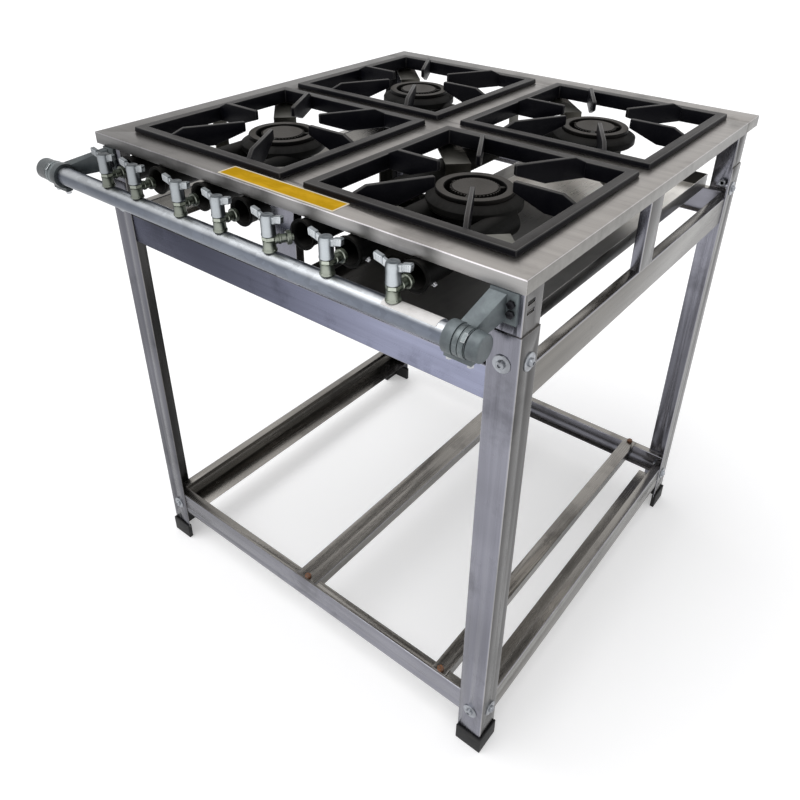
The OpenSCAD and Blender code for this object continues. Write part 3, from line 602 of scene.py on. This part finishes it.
# The tray's tones are painted light: a near-black front, painted shade that darkens the tray towards the
# front, and painted tones on its folds
tray_finish = steel("tray_sheet", "Y", (0.05, 0.048, 0.045), (0.20, 0.198, 0.195), (0.50, 0.485, 0.46),
                    rough=0.3, band=5.0, painted_light_drift=(-0.82, 0.7), span=(0.02, 0.19), way=1)
tray_fold_painted = steel("tray_fold_painted", "Y", (0.2, 0.19, 0.18), (0.24, 0.23, 0.23), (0.28, 0.27, 0.26), rough=0.3)
grate_iron = cast_iron("grate_iron", (0.003, 0.003, 0.005), (0.007, 0.007, 0.009), (0.050, 0.047, 0.046),
                       rough=0.42, gloss=0.08)
grate_edge = cast_iron("grate_edge", (0.016, 0.016, 0.018), (0.03, 0.029, 0.03), (0.10, 0.096, 0.092),
                       rough=0.4, gloss=0.2)
# Near black: the iron's own dark colour deepened further as painted shade on the tube mouths under the table
burner_iron = cast_iron("burner_iron", (0.004, 0.004, 0.004), (0.008, 0.008, 0.007), (0.020, 0.019, 0.018),
                        rough=0.5, gloss=0.06)
burner_edge = cast_iron("burner_edge", (0.005, 0.005, 0.005), (0.010, 0.009, 0.009), (0.022, 0.021, 0.019),
                        rough=0.48, gloss=0.08)
head_iron = cast_iron("burner_head_iron", (0.005, 0.005, 0.005), (0.010, 0.009, 0.008), (0.062, 0.057, 0.052),
                      rough=0.5, gloss=0.06)
zinc_bolt = cast_metal("zinc_plated_steel", (0.26, 0.27, 0.29), (0.40, 0.42, 0.45), rough=0.32)
zinc_edge = cast_metal("zinc_rubbed", (0.60, 0.61, 0.63), (0.74, 0.75, 0.77), rough=0.28)
# Front colours of the handles and valves are painted highlights, and their left ends are darkened as painted
# shade
zinc_handle = cast_metal("zinc_handle", (0.085, 0.097, 0.107), (0.15, 0.165, 0.178), rough=0.34, pit=900,
                         front=(0.58, 0.62, 0.65), painted_shade_along_x=(0.5, 0.98))
handle_edge = cast_metal("zinc_handle_rubbed", (0.22, 0.24, 0.25), (0.34, 0.36, 0.375), rough=0.3, pit=900,
                         front=(0.74, 0.77, 0.79), painted_shade_along_x=(0.6, 1.0))
valve_brass = cast_metal("valve_brass", (0.05, 0.062, 0.048), (0.14, 0.16, 0.125), rough=0.32, pit=900,
                         front=(0.40, 0.43, 0.37), painted_shade_along_x=(0.42, 0.95))
valve_edge = cast_metal("valve_brass_rubbed", (0.24, 0.27, 0.21), (0.34, 0.37, 0.30), rough=0.3, pit=900,
                        front=(0.56, 0.60, 0.52), painted_shade_along_x=(0.45, 1.0))
dark_steel = cast_metal("blackened_steel", (0.015, 0.015, 0.018), (0.04, 0.04, 0.045), rough=0.4)
paint = green_paint("green_paint", (0.085, 0.10, 0.108), (0.135, 0.158, 0.165))
paint_edge = green_paint("green_paint_edge", (0.15, 0.175, 0.18), (0.22, 0.25, 0.255))
pipe_zinc = galvanised()
boot_rubber = rubber()
rust = rusty()


# Sheet metal: table, straps, tray

def on_rim(a, b):
    """Accepts the edges of the table's outer fold."""
    level = abs(a.z - TABLE_TOP) < SAME and abs(b.z - TABLE_TOP) < SAME
    at_end = abs(a.x - b.x) < SAME and abs(abs(a.x - TABLE_MID_X) - TABLE_HALF) < SAME
    at_front_or_back = abs(a.y - b.y) < SAME and abs(abs(a.y - TABLE_MID_Y) - TABLE_HALF) < SAME
    return level and (at_end or at_front_or_back)


TABLE_EDGE = 0.5 * MM
TABLE_FOLD = 1.6 * MM
STRAP_EDGE = 0.4 * MM
TRAY_EDGE = 0.35 * MM

for node in ("table_frame", "table_rear_bar"):
    sheet = eased(node, TABLE_EDGE, TABLE_FOLD, on_rim)
    show(sheet, table_finish, "stand", [node], table_fold_highlight)
straps = eased("burner_straps", STRAP_EDGE)
show(straps, strap_finish, "stand", ["burner_straps"], strap_fold_highlight)
tray = eased("drip_tray", TRAY_EDGE)
show(tray, tray_finish, "drip_tray", ["drip_tray"], tray_fold_painted)


# Stand: legs, posts, rails and bars

STAND_EDGE = 0.4 * MM
STAND_FOLD = 1.4 * MM
LONG_EDGE = 50 * MM
FOOT_EDGE = 1.4 * MM


def outer_fold(node, along):
    """Accepts the long edges of a folded piece that lie on its box."""
    low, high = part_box(node)
    axis = "xyz".index(along)
    others = [k for k in range(3) if k != axis]

    def on_box(point):
        return all(min(abs(point[k] - low[k]), abs(point[k] - high[k])) < SAME for k in others)
    return lambda a, b: abs(a[axis] - b[axis]) > LONG_EDGE and on_box(a) and on_box(b)


def folded(node, along, finish, fold=stand_fold_highlight):
    """Shows a piece of the stand with its long outer edges rounded as bent sheet is."""
    piece = eased(node, STAND_EDGE, STAND_FOLD, outer_fold(node, along))
    show(piece, finish, "stand", [node], fold)


for corner in CORNERS:
    for kind in ("corner_post", "leg"):
        folded(f"{kind}_{corner}", "z", upright)
for node in ("middle_post_front", "middle_post_right"):
    folded(node, "z", upright)
for ring in ("upper", "lower"):
    for side in SIDES:
        if (ring, side) == ("upper", "front"):
            folded("upper_rail_front", "x", upper_front, upper_front_fold_painted)
        elif side in ("front", "rear"):
            folded(f"{ring}_rail_{side}", "x", lengthwise)
        else:
            folded(f"{ring}_rail_{side}", "y", crosswise)
for node in ("cross_bar_middle", "cross_bar_right"):
    folded(node, "y", crosswise)
for corner in CORNERS:
    node = f"foot_{corner}"
    show(eased(node, FOOT_EDGE, segments=3), boot_rubber, "stand", [node])


# Bolts: a button head on a large washer, made once and copied to the sixteen places

BOLT_HEIGHTS = (79, 685.5)
BOLT_IN_FRONT = 20
BOLT_IN_SIDE = 22


def leg_corner(corner):
    """The outer corner of a leg, with +1 or -1 for the way its faces run from there."""
    low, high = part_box(f"leg_{corner}")
    left = corner.endswith("left")
    front = corner.startswith("front")
    x = low.x if left else high.x
    y = low.y if front else high.y
    return x, y, (1 if left else -1), (1 if front else -1)


def bolt_places():
    """Place and outward direction of each leg bolt."""
    for corner in CORNERS:
        x, y, right, back = leg_corner(corner)
        for height in BOLT_HEIGHTS:
            yield Vector((x + right * BOLT_IN_FRONT * MM, y, height * MM)), Vector((0, -back, 0))
            yield Vector((x, y + back * BOLT_IN_SIDE * MM, height * MM)), Vector((-right, 0, 0))


def on_axis(profile):
    """Radius and height pairs in millimetres as places beside the Z axis."""
    return [Vector((r * MM, 0, h * MM)) for r, h in profile]


def facing_matrix(place, axis):
    return Matrix.Translation(place) @ Vector(UP).rotation_difference(axis).to_matrix().to_4x4()


def many(name, pattern, places):
    """Copies of a pattern that stands on the origin along +Z, as one group."""
    group = [copied(pattern, f"{name}_{i}", facing_matrix(p, a)) for i, (p, a) in enumerate(places)]
    bpy.data.objects.remove(pattern)
    return smooth(joined(name, group), 30)


WASHER_T = 1.5
WASHER_R = 11
WASHER_HOLE = 3.2
HEAD_R = 5.2
HEAD_H = (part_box("leg_bolts")[1].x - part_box("leg_front_right")[1].x) / MM - WASHER_T
SHANK_R = 2.9
SHANK_LEN = 8
NUT_R = 6
NUT_H = 5
NUT_EDGE = 0.5 * MM
SCREW_EDGE = 0.4 * MM
BOLTS = list(bolt_places())

washer = spun("washer_pattern", on_axis([
    (WASHER_HOLE, 0), (WASHER_R, 0), (WASHER_R, 0.9), (WASHER_R - 0.6, WASHER_T),
    (WASHER_R - 1.6, WASHER_T - 0.15), (WASHER_R - 2.2, WASHER_T), (WASHER_HOLE, WASHER_T)]),
    ORIGIN, UP, 40, closed=True)
show(many("washers", washer, BOLTS), zinc_bolt, "stand", ["leg_washers"])

head = spun("bolt_pattern", on_axis([
    (0, -SHANK_LEN), (SHANK_R, -SHANK_LEN), (SHANK_R, WASHER_T), (HEAD_R, WASHER_T),
    (HEAD_R, WASHER_T + HEAD_H * 0.45), (HEAD_R * 0.93, WASHER_T + HEAD_H * 0.72),
    (HEAD_R * 0.7, WASHER_T + HEAD_H * 0.93), (HEAD_R * 0.42, WASHER_T + HEAD_H),
    (HEAD_R * 0.36, WASHER_T + HEAD_H * 0.6), (0, WASHER_T + HEAD_H * 0.55)]), ORIGIN, UP, 32)
show(many("leg_bolt_heads", head, BOLTS), zinc_bolt, "stand", ["leg_bolts"])

nut = soften(hexagon("nut_pattern", -SHANK_LEN, NUT_R, NUT_H), NUT_EDGE)
show(many("leg_nut_set", nut, BOLTS), zinc_bolt, "stand", ["leg_nuts"], zinc_edge)
show(eased("cross_bar_bolts", SCREW_EDGE), rust, "stand", ["cross_bar_bolts"])
show(eased("arm_bolts", SCREW_EDGE), dark_steel, "stand", ["arm_bolts"])


# Gas pipe, its caps and brackets

pipe_low, pipe_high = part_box("gas_pipe")
PIPE_Y = (pipe_low.y + pipe_high.y) / 2
PIPE_Z = (pipe_low.z + pipe_high.z) / 2
PIPE_R = (pipe_high.z - pipe_low.z) / 2
PIPE_AXIS = Vector((0, PIPE_Y, PIPE_Z))


def beside_pipe(profile):
    """Places in millimetres along the pipe, and radius from its axis, as a line above the pipe's axis."""
    return [Vector((x, PIPE_Y, PIPE_Z + r * MM)) for x, r in profile]


PIPE_WALL = 2.6
pipe_r = PIPE_R / MM
pipe = spun("pipe_tube", beside_pipe([
    (pipe_low.x, pipe_r - PIPE_WALL), (pipe_low.x, pipe_r), (pipe_high.x, pipe_r),
    (pipe_high.x, pipe_r - PIPE_WALL)]), PIPE_AXIS, (1, 0, 0), 96, closed=True)
show(smooth(pipe), pipe_zinc, "stand", ["gas_pipe"])

caps_low, caps_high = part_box("pipe_caps")
CAP_R = (caps_high.z - caps_low.z) / 2 / MM
CAP_BORE = 13.5
CAP_FLOOR = 4
ARM_EDGE = 1.1 * MM
CLAMP_EDGE = 0.3 * MM
# Below this height a clamp shows its screw and no band
CLAMP_SCREW_TOP = PIPE_Z - PIPE_R - 2.5 * MM


def cap(name, end, inward, long, bead):
    """A cap: a rounded end, a plain barrel and a bead round its mouth."""
    def at(depth, r):
        return (end + inward * depth * MM, r)
    return smooth(spun(name, beside_pipe([
        at(0.5, 0), at(0.1, CAP_R - 5), at(0, CAP_R - 2.4), at(0.5, CAP_R - 1.2), at(1.6, CAP_R - 0.5),
        at(long - bead - 1, CAP_R - 0.5), at(long - bead, CAP_R), at(long - 0.6, CAP_R),
        at(long, CAP_R - 0.6), at(long, CAP_BORE), at(CAP_FLOOR, CAP_BORE), at(CAP_FLOOR, 0)]),
        PIPE_AXIS, (1, 0, 0), 72), 40)


cap_left = cap("cap_left", caps_low.x, 1, long=26, bead=7)
cap_right = cap("cap_right", caps_high.x, -1, long=14, bead=3)
show(joined("end_caps", [cap_left, cap_right]), paint, "stand", ["pipe_caps"])
for arm in ("pipe_arm_left", "pipe_arm_right"):
    show(eased(arm, ARM_EDGE, segments=3), paint, "stand", [arm], paint_edge)
clamps = eased("pipe_clamps", CLAMP_EDGE)
show(clamps, clamp_finish(CLAMP_SCREW_TOP), "stand", ["pipe_clamps"])

# A buckle lies on the top of each clamp band, turned towards the front
BUCKLE_TURN = 44
BUCKLE_X = {"left": -418, "right": 326}
BUCKLE_HALF = Vector((2.4, 5, 0)) * MM
BUCKLE_T = Vector((0, 0, 1.4)) * MM
BUCKLE_LIFT = 3.6 * MM
for side, x in BUCKLE_X.items():
    seat = Vector((stove(x, 0, 0).x, PIPE_Y, PIPE_Z + PIPE_R + BUCKLE_LIFT))
    buckle = block(f"buckle_{side}", seat - BUCKLE_HALF, seat + BUCKLE_HALF + BUCKLE_T)
    soften(buckle, 0.4 * MM)
    buckle.data.transform(about(PIPE_AXIS, "X", BUCKLE_TURN))
    show(buckle, paint_edge, "stand", edge=zinc_edge)


# Valves and wing handles

TAP_NAMES = [f"tap_{i}" for i in range(1, 8)]
tap_low, tap_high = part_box("tap_1")
tap_axes = {j["child"]: j["pos_m"][:2] for j in frame["joints"] if j["child"] in TAP_NAMES}
HUB_START = 0.3
STEM_Z = tap_low.z - HUB_START * MM
TAP_H = (tap_high.z - STEM_Z) / MM
STEM_R = 8.5
WING_REACH = 25
BLADE_T = 4.4
GRIP_T = 6.0
GRIP_LEN = 12.5
RIBS = 4


def upright_plate(name, profile, thick):
    """A plate on edge through the Z axis: distance along X and height in millimetres."""
    outline = [Vector((x * MM, -thick / 2 * MM, z * MM)) for x, z in profile]
    return plate(name, outline, Vector((0, thick * MM, 0)))


def wing_parts():
    """A blade along +X that rises to a ribbed grip at its end."""
    blade = upright_plate("blade", (
        (1, 16.4), (7, 16.0), (11, 17.0), (WING_REACH - 1.2, 21.8), (WING_REACH - 0.3, 28.2),
        (WING_REACH - 2, TAP_H - 0.8), (12, 27.0), (8, 25.6), (1, 25.6)), BLADE_T)
    parts = [smooth(soften(blade, 1.2 * MM, 3), 50)]
    grip = upright_plate("grip", (
        (WING_REACH - GRIP_LEN, 19.0), (WING_REACH - 1.0, 21.6), (WING_REACH, 28.6),
        (WING_REACH - 1.2, TAP_H), (WING_REACH - GRIP_LEN, 28.2)), GRIP_T)
    parts.append(smooth(soften(grip, 0.9 * MM, 3), 50))
    for k in range(RIBS):
        x = (WING_REACH - 10.8 + 2.5 * k) * MM
        low = (20.8 + 0.5 * k) * MM
        rib = block("rib", (x - 0.6 * MM, -3.5 * MM, low), (x + 0.6 * MM, 3.5 * MM, low + 6.4 * MM))
        parts.append(soften(rib, 0.35 * MM, 1))
    return parts


def tap_pattern():
    """A cast handle on the Z axis: plain stem with a low hub, and two rising wings."""
    stem = spun("stem", on_axis([
        (0, 26.4), (2.6, 26.4), (3.6, 26.9), (4.6, 26.8), (7.2, 26.0), (8.2, 24.2), (STEM_R + 0.2, 20),
        (STEM_R, 15), (STEM_R, 3.4), (STEM_R + 0.4, 2.6), (STEM_R + 0.4, 0.9), (STEM_R - 0.1, HUB_START),
        (4.1, HUB_START), (4.1, 13), (0, 13)]), ORIGIN, UP, 56)
    wing = joined("wing", wing_parts())
    parts = [smooth(stem, 40), copied(wing, "wing_left", Matrix.Rotation(TURN / 2, 4, "Z")), wing]
    return joined("tap_handle_pattern", parts)


handle = tap_pattern()
for name in TAP_NAMES:
    x, y = tap_axes[name]
    piece = copied(handle, f"{name}_handle", Matrix.Translation((x, y, STEM_Z)))
    show(piece, zinc_handle, name, [name], handle_edge)
bpy.data.objects.remove(handle)

# The fifth valve is turned aside to meet its tube, which lies to the right of it
VALVE_TURNS = {"tap_5": -30}
JET_Z = 752 * MM
JET_HEIGHT = (JET_Z - STEM_Z) / MM
JET_RIDGES = 16


def spun_ahead(name, profile, steps):
    """Radius and distance ahead in millimetres, spun round the jet's axis."""
    line = [Vector((0, y * MM, (JET_HEIGHT + r) * MM)) for r, y in profile]
    return spun(name, line, (0, 0, JET_HEIGHT * MM), (0, 1, 0), steps)


def valve_pattern():
    """A valve on the Z axis: pipe nut, body, gland nut, spindle, and a boss with its nut towards +Y."""
    seat = PIPE_Z + PIPE_R
    floor = (seat - STEM_Z) / MM + 0.1
    body = spun("valve", on_axis([
        (0, floor), (8.6, floor), (9.0, floor + 0.5), (9.0, floor + 2.2), (8.4, floor + 3.0),
        (7.9, floor + 5.0), (7.9, -6.6), (8.3, -5.8), (7.4, -5.2), (7.0, -4.8), (7.0, -0.6), (6.4, 0),
        (3.9, 0), (3.9, 11.6), (3.4, 12), (0, 12)]), ORIGIN, UP, 48)
    parts = [smooth(body, 40)]
    parts.append(soften(hexagon("gland_nut", -5.0, 8.8, 4.6), 0.5 * MM))
    parts.append(soften(hexagon("pipe_nut", floor + 0.2, 9.0, 3.4), 0.4 * MM))
    boss = spun_ahead("boss", [
        (0, 0), (5.5, 0), (5.5, 10.5), (6.4, 11.2), (6.4, 13.2), (5.5, 14), (5.5, 19.6), (0, 19.6)], 40)
    parts.append(smooth(boss, 40))
    return joined("valve_pattern", parts)


def jet_pattern():
    """The jet holder: a knurled nut and a short tip with its bore."""
    nut = spun_ahead("jet_nut", [
        (0, 20), (7.6, 20), (8.5, 20.9), (8.5, 25.1), (7.6, 26), (4, 26), (4, 28.6), (3.4, 29), (0.9, 29),
        (0.9, 27), (0, 27)], 48)
    parts = [smooth(nut, 35)]
    low = (JET_HEIGHT + 8.2) * MM
    high = (JET_HEIGHT + 8.75) * MM
    for k in range(JET_RIDGES):
        ridge = block("ridge", (-0.5 * MM, 21.2 * MM, low), (0.5 * MM, 24.8 * MM, high))
        ridge.data.transform(about((0, 0, JET_HEIGHT * MM), "Y", 360 / JET_RIDGES * k))
        parts.append(ridge)
    return joined("jet_pattern", parts)


def valve_matrix(name):
    x, y = tap_axes[name]
    turn = Matrix.Rotation(math.radians(VALVE_TURNS.get(name, 0)), 4, "Z")
    return Matrix.Translation((x, y, STEM_Z)) @ turn


for title, pattern, node in (("valve", valve_pattern(), "valve_bodies"), ("jet", jet_pattern(), "gas_jets")):
    group = [copied(pattern, f"{title}_{name}", valve_matrix(name)) for name in TAP_NAMES]
    bpy.data.objects.remove(pattern)
    show(joined(f"{title}_set", group), valve_brass, "stand", [node], valve_edge)


# Burners and grates

# The set screws of the air rings, low on the right of the mixing tubes; the fifth tube lies beside its valve
MOUTH_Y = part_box("burner_body_front_left")[0].y
SCREW_DEPTH = 17
TUBE_R = 17.5
TUBE_5_SHIFT = 19
SCREW_WAY = Vector((0.83, 0, -0.56)).normalized()
BURNER_EDGE = 0.8 * MM


def tube_screw_places():
    """Place and outward direction of each set screw; the first tap's short tube shows none."""
    for name in TAP_NAMES[1:]:
        x = tap_axes[name][0] + (TUBE_5_SHIFT * MM if name == "tap_5" else 0)
        axis_at = Vector((x, MOUTH_Y + SCREW_DEPTH * MM, JET_Z))
        yield axis_at + SCREW_WAY * (TUBE_R + 0.2) * MM, SCREW_WAY


tube_screw = spun("tube_screw", on_axis([
    (0, -2), (1.6, -2), (1.6, 0), (3.3, 0), (3.3, 0.9), (2.5, 1.0), (2.5, 3.2), (1.9, 3.8), (0, 3.8)]),
    ORIGIN, UP, 24)
show(many("tube_screws", tube_screw, list(tube_screw_places())), zinc_edge, "stand")

for corner in CORNERS:
    node = f"burner_body_{corner}"
    show(eased(node, BURNER_EDGE), burner_iron, "stand", [node], burner_edge)


def node_middle(node):
    low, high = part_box(node)
    return (low.x + high.x) / 2, (low.y + high.y) / 2


TEETH = 40
RING_IN = 39
RING_OUT = 50
DISC_R = 29.6
# Where each bridge across the flame slot stands, in degrees; the third is as high as the disc
BRIDGE_TURNS = (50, 170, 290)
LOW_BRIDGE = 2.0


def head_pattern(height):
    """A lift-off head on the Z axis: chamfered ring, dished disc with teeth, and three bridges."""
    ring = smooth(spun("ring", on_axis([
        (RING_IN, 0), (RING_OUT - 0.4, 0), (RING_OUT, 0.5), (RING_OUT, height - 0.8),
        (RING_OUT - 0.8, height), (RING_IN + 0.8, height), (RING_IN, height - 0.8)]),
        ORIGIN, UP, 96, closed=True), 40)
    disc = smooth(spun("disc", on_axis([
        (0, 0), (DISC_R, 0), (DISC_R, height - 0.9), (DISC_R - 0.8, height), (24, height - 0.25),
        (8, height - 0.5), (0, height - 0.5)]), ORIGIN, UP, 96), 40)
    parts = [ring, disc]
    tooth = block("tooth", (29.2 * MM, -0.9 * MM, 0.2 * MM), (31.6 * MM, 0.9 * MM, (height - 1.0) * MM))
    for k in range(TEETH):
        parts.append(copied(tooth, f"tooth_{k}", Matrix.Rotation(TURN * k / TEETH, 4, "Z")))
    bpy.data.objects.remove(tooth)
    for degrees, top in zip(BRIDGE_TURNS, (LOW_BRIDGE, LOW_BRIDGE, height - 0.3)):
        bridge = block("bridge", (28.5 * MM, -3.4 * MM, 0.05 * MM), (41.5 * MM, 3.4 * MM, top * MM))
        soften(bridge, 0.6 * MM)
        bridge.data.transform(Matrix.Rotation(math.radians(degrees), 4, "Z"))
        parts.append(smooth(bridge, 50))
    return joined("head_pattern", parts)


head_low, head_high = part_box("burner_head_front_left")
head = head_pattern((head_high.z - head_low.z) / MM)
for corner in CORNERS:
    node = f"burner_head_{corner}"
    x, y = node_middle(node)
    piece = copied(head, f"{node}_cast", Matrix.Translation((x, y, head_low.z)))
    show(piece, head_iron, node, [node], burner_edge)
bpy.data.objects.remove(head)

RIM_W = 14.5
LIP = 4
RIM_H = 8
FINGER_RISE = 8
FINGER_TIP = 55
FINGER_T = 6
GRATE_EDGE = 1.3 * MM
FINGER_EDGE = 1.2 * MM


def grate_pattern(low, high):
    """A cast grate centred on the Z axis, at its real height: a mitred rim with a lip, and six fingers."""
    outer = (high.x - low.x) / 2 / MM
    inner = outer - RIM_W
    base = low.z / MM
    top = high.z / MM
    rim_top = top - FINGER_RISE
    seat = rim_top - RIM_H + 0.3
    rim = spun("rim", [Vector((h * MM, h * MM, z * MM)) for h, z in (
        (inner, base), (inner + LIP, base), (inner + LIP, seat), (outer, seat), (outer - 0.8, rim_top),
        (inner, rim_top))], ORIGIN, UP, steps=4, closed=True)
    parts = [smooth(soften(rim, GRATE_EDGE, 3, 25), 40)]
    for degrees in (0, 60):
        reach = inner / max(abs(math.cos(math.radians(degrees))), abs(math.sin(math.radians(degrees))))
        finger = upright_plate("finger", (
            (FINGER_TIP, top - 14), (FINGER_TIP, top - 1), (FINGER_TIP + 2, top), (reach - 14, top),
            (reach + 2.5, rim_top), (reach + 2.5, base), (100, base)), FINGER_T)
        smooth(soften(finger, FINGER_EDGE, 3), 40)
        for turn in ((0, 180) if degrees == 0 else (60, 120, 240, 300)):
            parts.append(copied(finger, f"finger_{turn}", Matrix.Rotation(math.radians(turn), 4, "Z")))
        bpy.data.objects.remove(finger)
    return joined("grate_pattern", parts)


grate_low, grate_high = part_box("grate_front_left")
casting = grate_pattern(grate_low, grate_high)
for corner in CORNERS:
    node = f"grate_{corner}"
    x, y = node_middle(node)
    piece = copied(casting, f"{node}_cast", Matrix.Translation((x, y, 0)))
    show(piece, grate_iron, node, [node], grate_edge)
bpy.data.objects.remove(casting)


# Yellow plate on the table and white label round the pipe

PLATE_LOW = stove(-93, -357.5, 790)
PLATE_HIGH = stove(105, -327.5, 790.4)
PLATE_T = PLATE_HIGH.z - PLATE_LOW.z
PLATE_CORNER = 1.5 * MM
sticker = block("yellow_plate_blank", PLATE_LOW, PLATE_HIGH)


def upright_edge(edge):
    """Accepts the four corner edges of the yellow plate."""
    ends = [sticker.data.vertices[v].co.z for v in edge.vertices]
    return abs(ends[0] - ends[1]) > PLATE_T / 2


edit(sticker, "EDGE", upright_edge)
bpy.ops.mesh.bevel(offset=PLATE_CORNER, segments=3, affect="EDGES")
close()
show(smooth(sticker), yellow_plate(PLATE_LOW, PLATE_HIGH), "stand", ["front_plates"])

# The label wraps the front of the pipe, as many degrees above its middle as below
LABEL_LOW = stove(218, 0, 0).x
LABEL_HIGH = stove(290, 0, 0).x
LABEL_R = (pipe_r + 0.1) * MM
LABEL_T = 0.4 * MM
LABEL_HALF_TURN = 46.4


def round_pipe(x, r, angle):
    """A place at an angle round the pipe, 0 at the back and 90 degrees at the top."""
    return Vector((x, PIPE_Y + r * math.cos(angle), PIPE_Z + r * math.sin(angle)))


first = math.radians(180 - LABEL_HALF_TURN)
wrap = draw("pipe_label_blank", [
    round_pipe(LABEL_LOW, LABEL_R, first), round_pipe(LABEL_LOW, LABEL_R + LABEL_T, first),
    round_pipe(LABEL_HIGH, LABEL_R + LABEL_T, first), round_pipe(LABEL_HIGH, LABEL_R, first)])
edit(wrap, "EDGE")
bpy.ops.mesh.edge_face_add()
bpy.ops.mesh.spin(steps=20, angle=math.radians(2 * LABEL_HALF_TURN), center=PIPE_AXIS, axis=(1, 0, 0))
tidy_open(wrap)
show(smooth(wrap), white_label(), "stand")


# Floor, light and camera

ROOM_LIGHT = 0.62
ROOM_SEEN = 1.0
FLOOR_SEEN = 0.30
FLOOR_SIZE = 40
SUN_STRENGTH = 1.25
SUN_SPREAD = 50


class Surround(Finish):
    """The world or the floor: the node method on its own tree, with one level for what is seen of it."""

    def __init__(self, owner):
        owner.use_nodes = True
        self.tree = owner.node_tree
        self.shader = next(n for n in self.tree.nodes if n.type in ("BACKGROUND", "BSDF_PRINCIPLED"))

    def seen_level(self, unseen, seen):
        """One level for camera, glossy and transmission rays, and another for the light that it gives."""
        ways = ("Camera", "Glossy", "Transmission")
        rays = [self.node("ShaderNodeLightPath", output=f"Is {way} Ray") for way in ways]
        any_ray = rays[0]
        for ray in rays[1:]:
            any_ray = any_ray.work("MAXIMUM", any_ray, ray)
        return self.blend(any_ray, [unseen] * 3, [seen] * 3)


world = bpy.data.worlds.new("pale_room")
bpy.context.scene.world = world
room = Surround(world)
room.feed("Color", room.seen_level(ROOM_LIGHT, ROOM_SEEN))
world.cycles.sampling_method = "NONE"

deselect()
bpy.ops.mesh.primitive_plane_add(size=FLOOR_SIZE, location=(0, 0, -0.5 * MM))
floor = named("floor")
ground = bpy.data.materials.new("pale_floor")
pale = Surround(ground)
pale.shader.inputs["Base Color"].default_value = (0.88, 0.88, 0.89, 1)
pale.shader.inputs["Roughness"].default_value = 0.9
pale.shader.inputs["Specular IOR Level"].default_value = 0.0
pale.shader.inputs["Emission Strength"].default_value = 1.0
pale.feed("Emission Color", pale.seen_level(0.0, FLOOR_SEEN))
floor.data.materials.append(ground)

# One wide sun from above the front left, so that the shadow lies soft under the stove
sun_data = bpy.data.lights.new("overhead", "SUN")
sun_data.energy = SUN_STRENGTH
sun_data.angle = math.radians(SUN_SPREAD)
sun = bpy.data.objects.new("overhead", sun_data)
bpy.context.scene.collection.objects.link(sun)
sun.location = (-0.6, -0.7, 2.6)
sun_aim = Vector((0, 0, 0.4)) - Vector(sun.location)
sun.rotation_euler = sun_aim.to_track_quat("-Z", "Y").to_euler()

# The camera stands to the right of the front and looks down on the table
CAMERA_PLACE = stove(662.46, -936.25, 1131.07)
CAMERA_TURN = 0.6596330
CAMERA_PITCH = -0.5432387
CAMERA_ROLL = 0.0133175
CAMERA_FOCUS = 763.21
CAMERA_CENTRE = (407.06, 320.38)
SENSOR = 36
PICTURE = 800

camera_data = bpy.data.cameras.new("camera")
camera_data.sensor_width = SENSOR
camera_data.lens = CAMERA_FOCUS / PICTURE * SENSOR
camera_data.shift_x = (PICTURE / 2 - CAMERA_CENTRE[0]) / PICTURE
camera_data.shift_y = (CAMERA_CENTRE[1] - PICTURE / 2) / PICTURE
camera_data.clip_start = 0.05
camera = bpy.data.objects.new("camera", camera_data)
bpy.context.scene.collection.objects.link(camera)
level_right = Vector((math.cos(CAMERA_TURN), math.sin(CAMERA_TURN), 0))
level_ahead = Vector((-math.sin(CAMERA_TURN), math.cos(CAMERA_TURN), 0))
ahead = level_ahead * math.cos(CAMERA_PITCH) + Vector(UP) * math.sin(CAMERA_PITCH)
above = Vector(UP) * math.cos(CAMERA_PITCH) - level_ahead * math.sin(CAMERA_PITCH)
right = level_right * math.cos(CAMERA_ROLL) + above * math.sin(CAMERA_ROLL)
up = above * math.cos(CAMERA_ROLL) - level_right * math.sin(CAMERA_ROLL)
turned = Matrix((right, up, -ahead)).transposed().to_4x4()
camera.matrix_world = Matrix.Translation(CAMERA_PLACE) @ turned
bpy.context.scene.camera = camera
bpy.context.scene.view_settings.view_transform = "Standard"
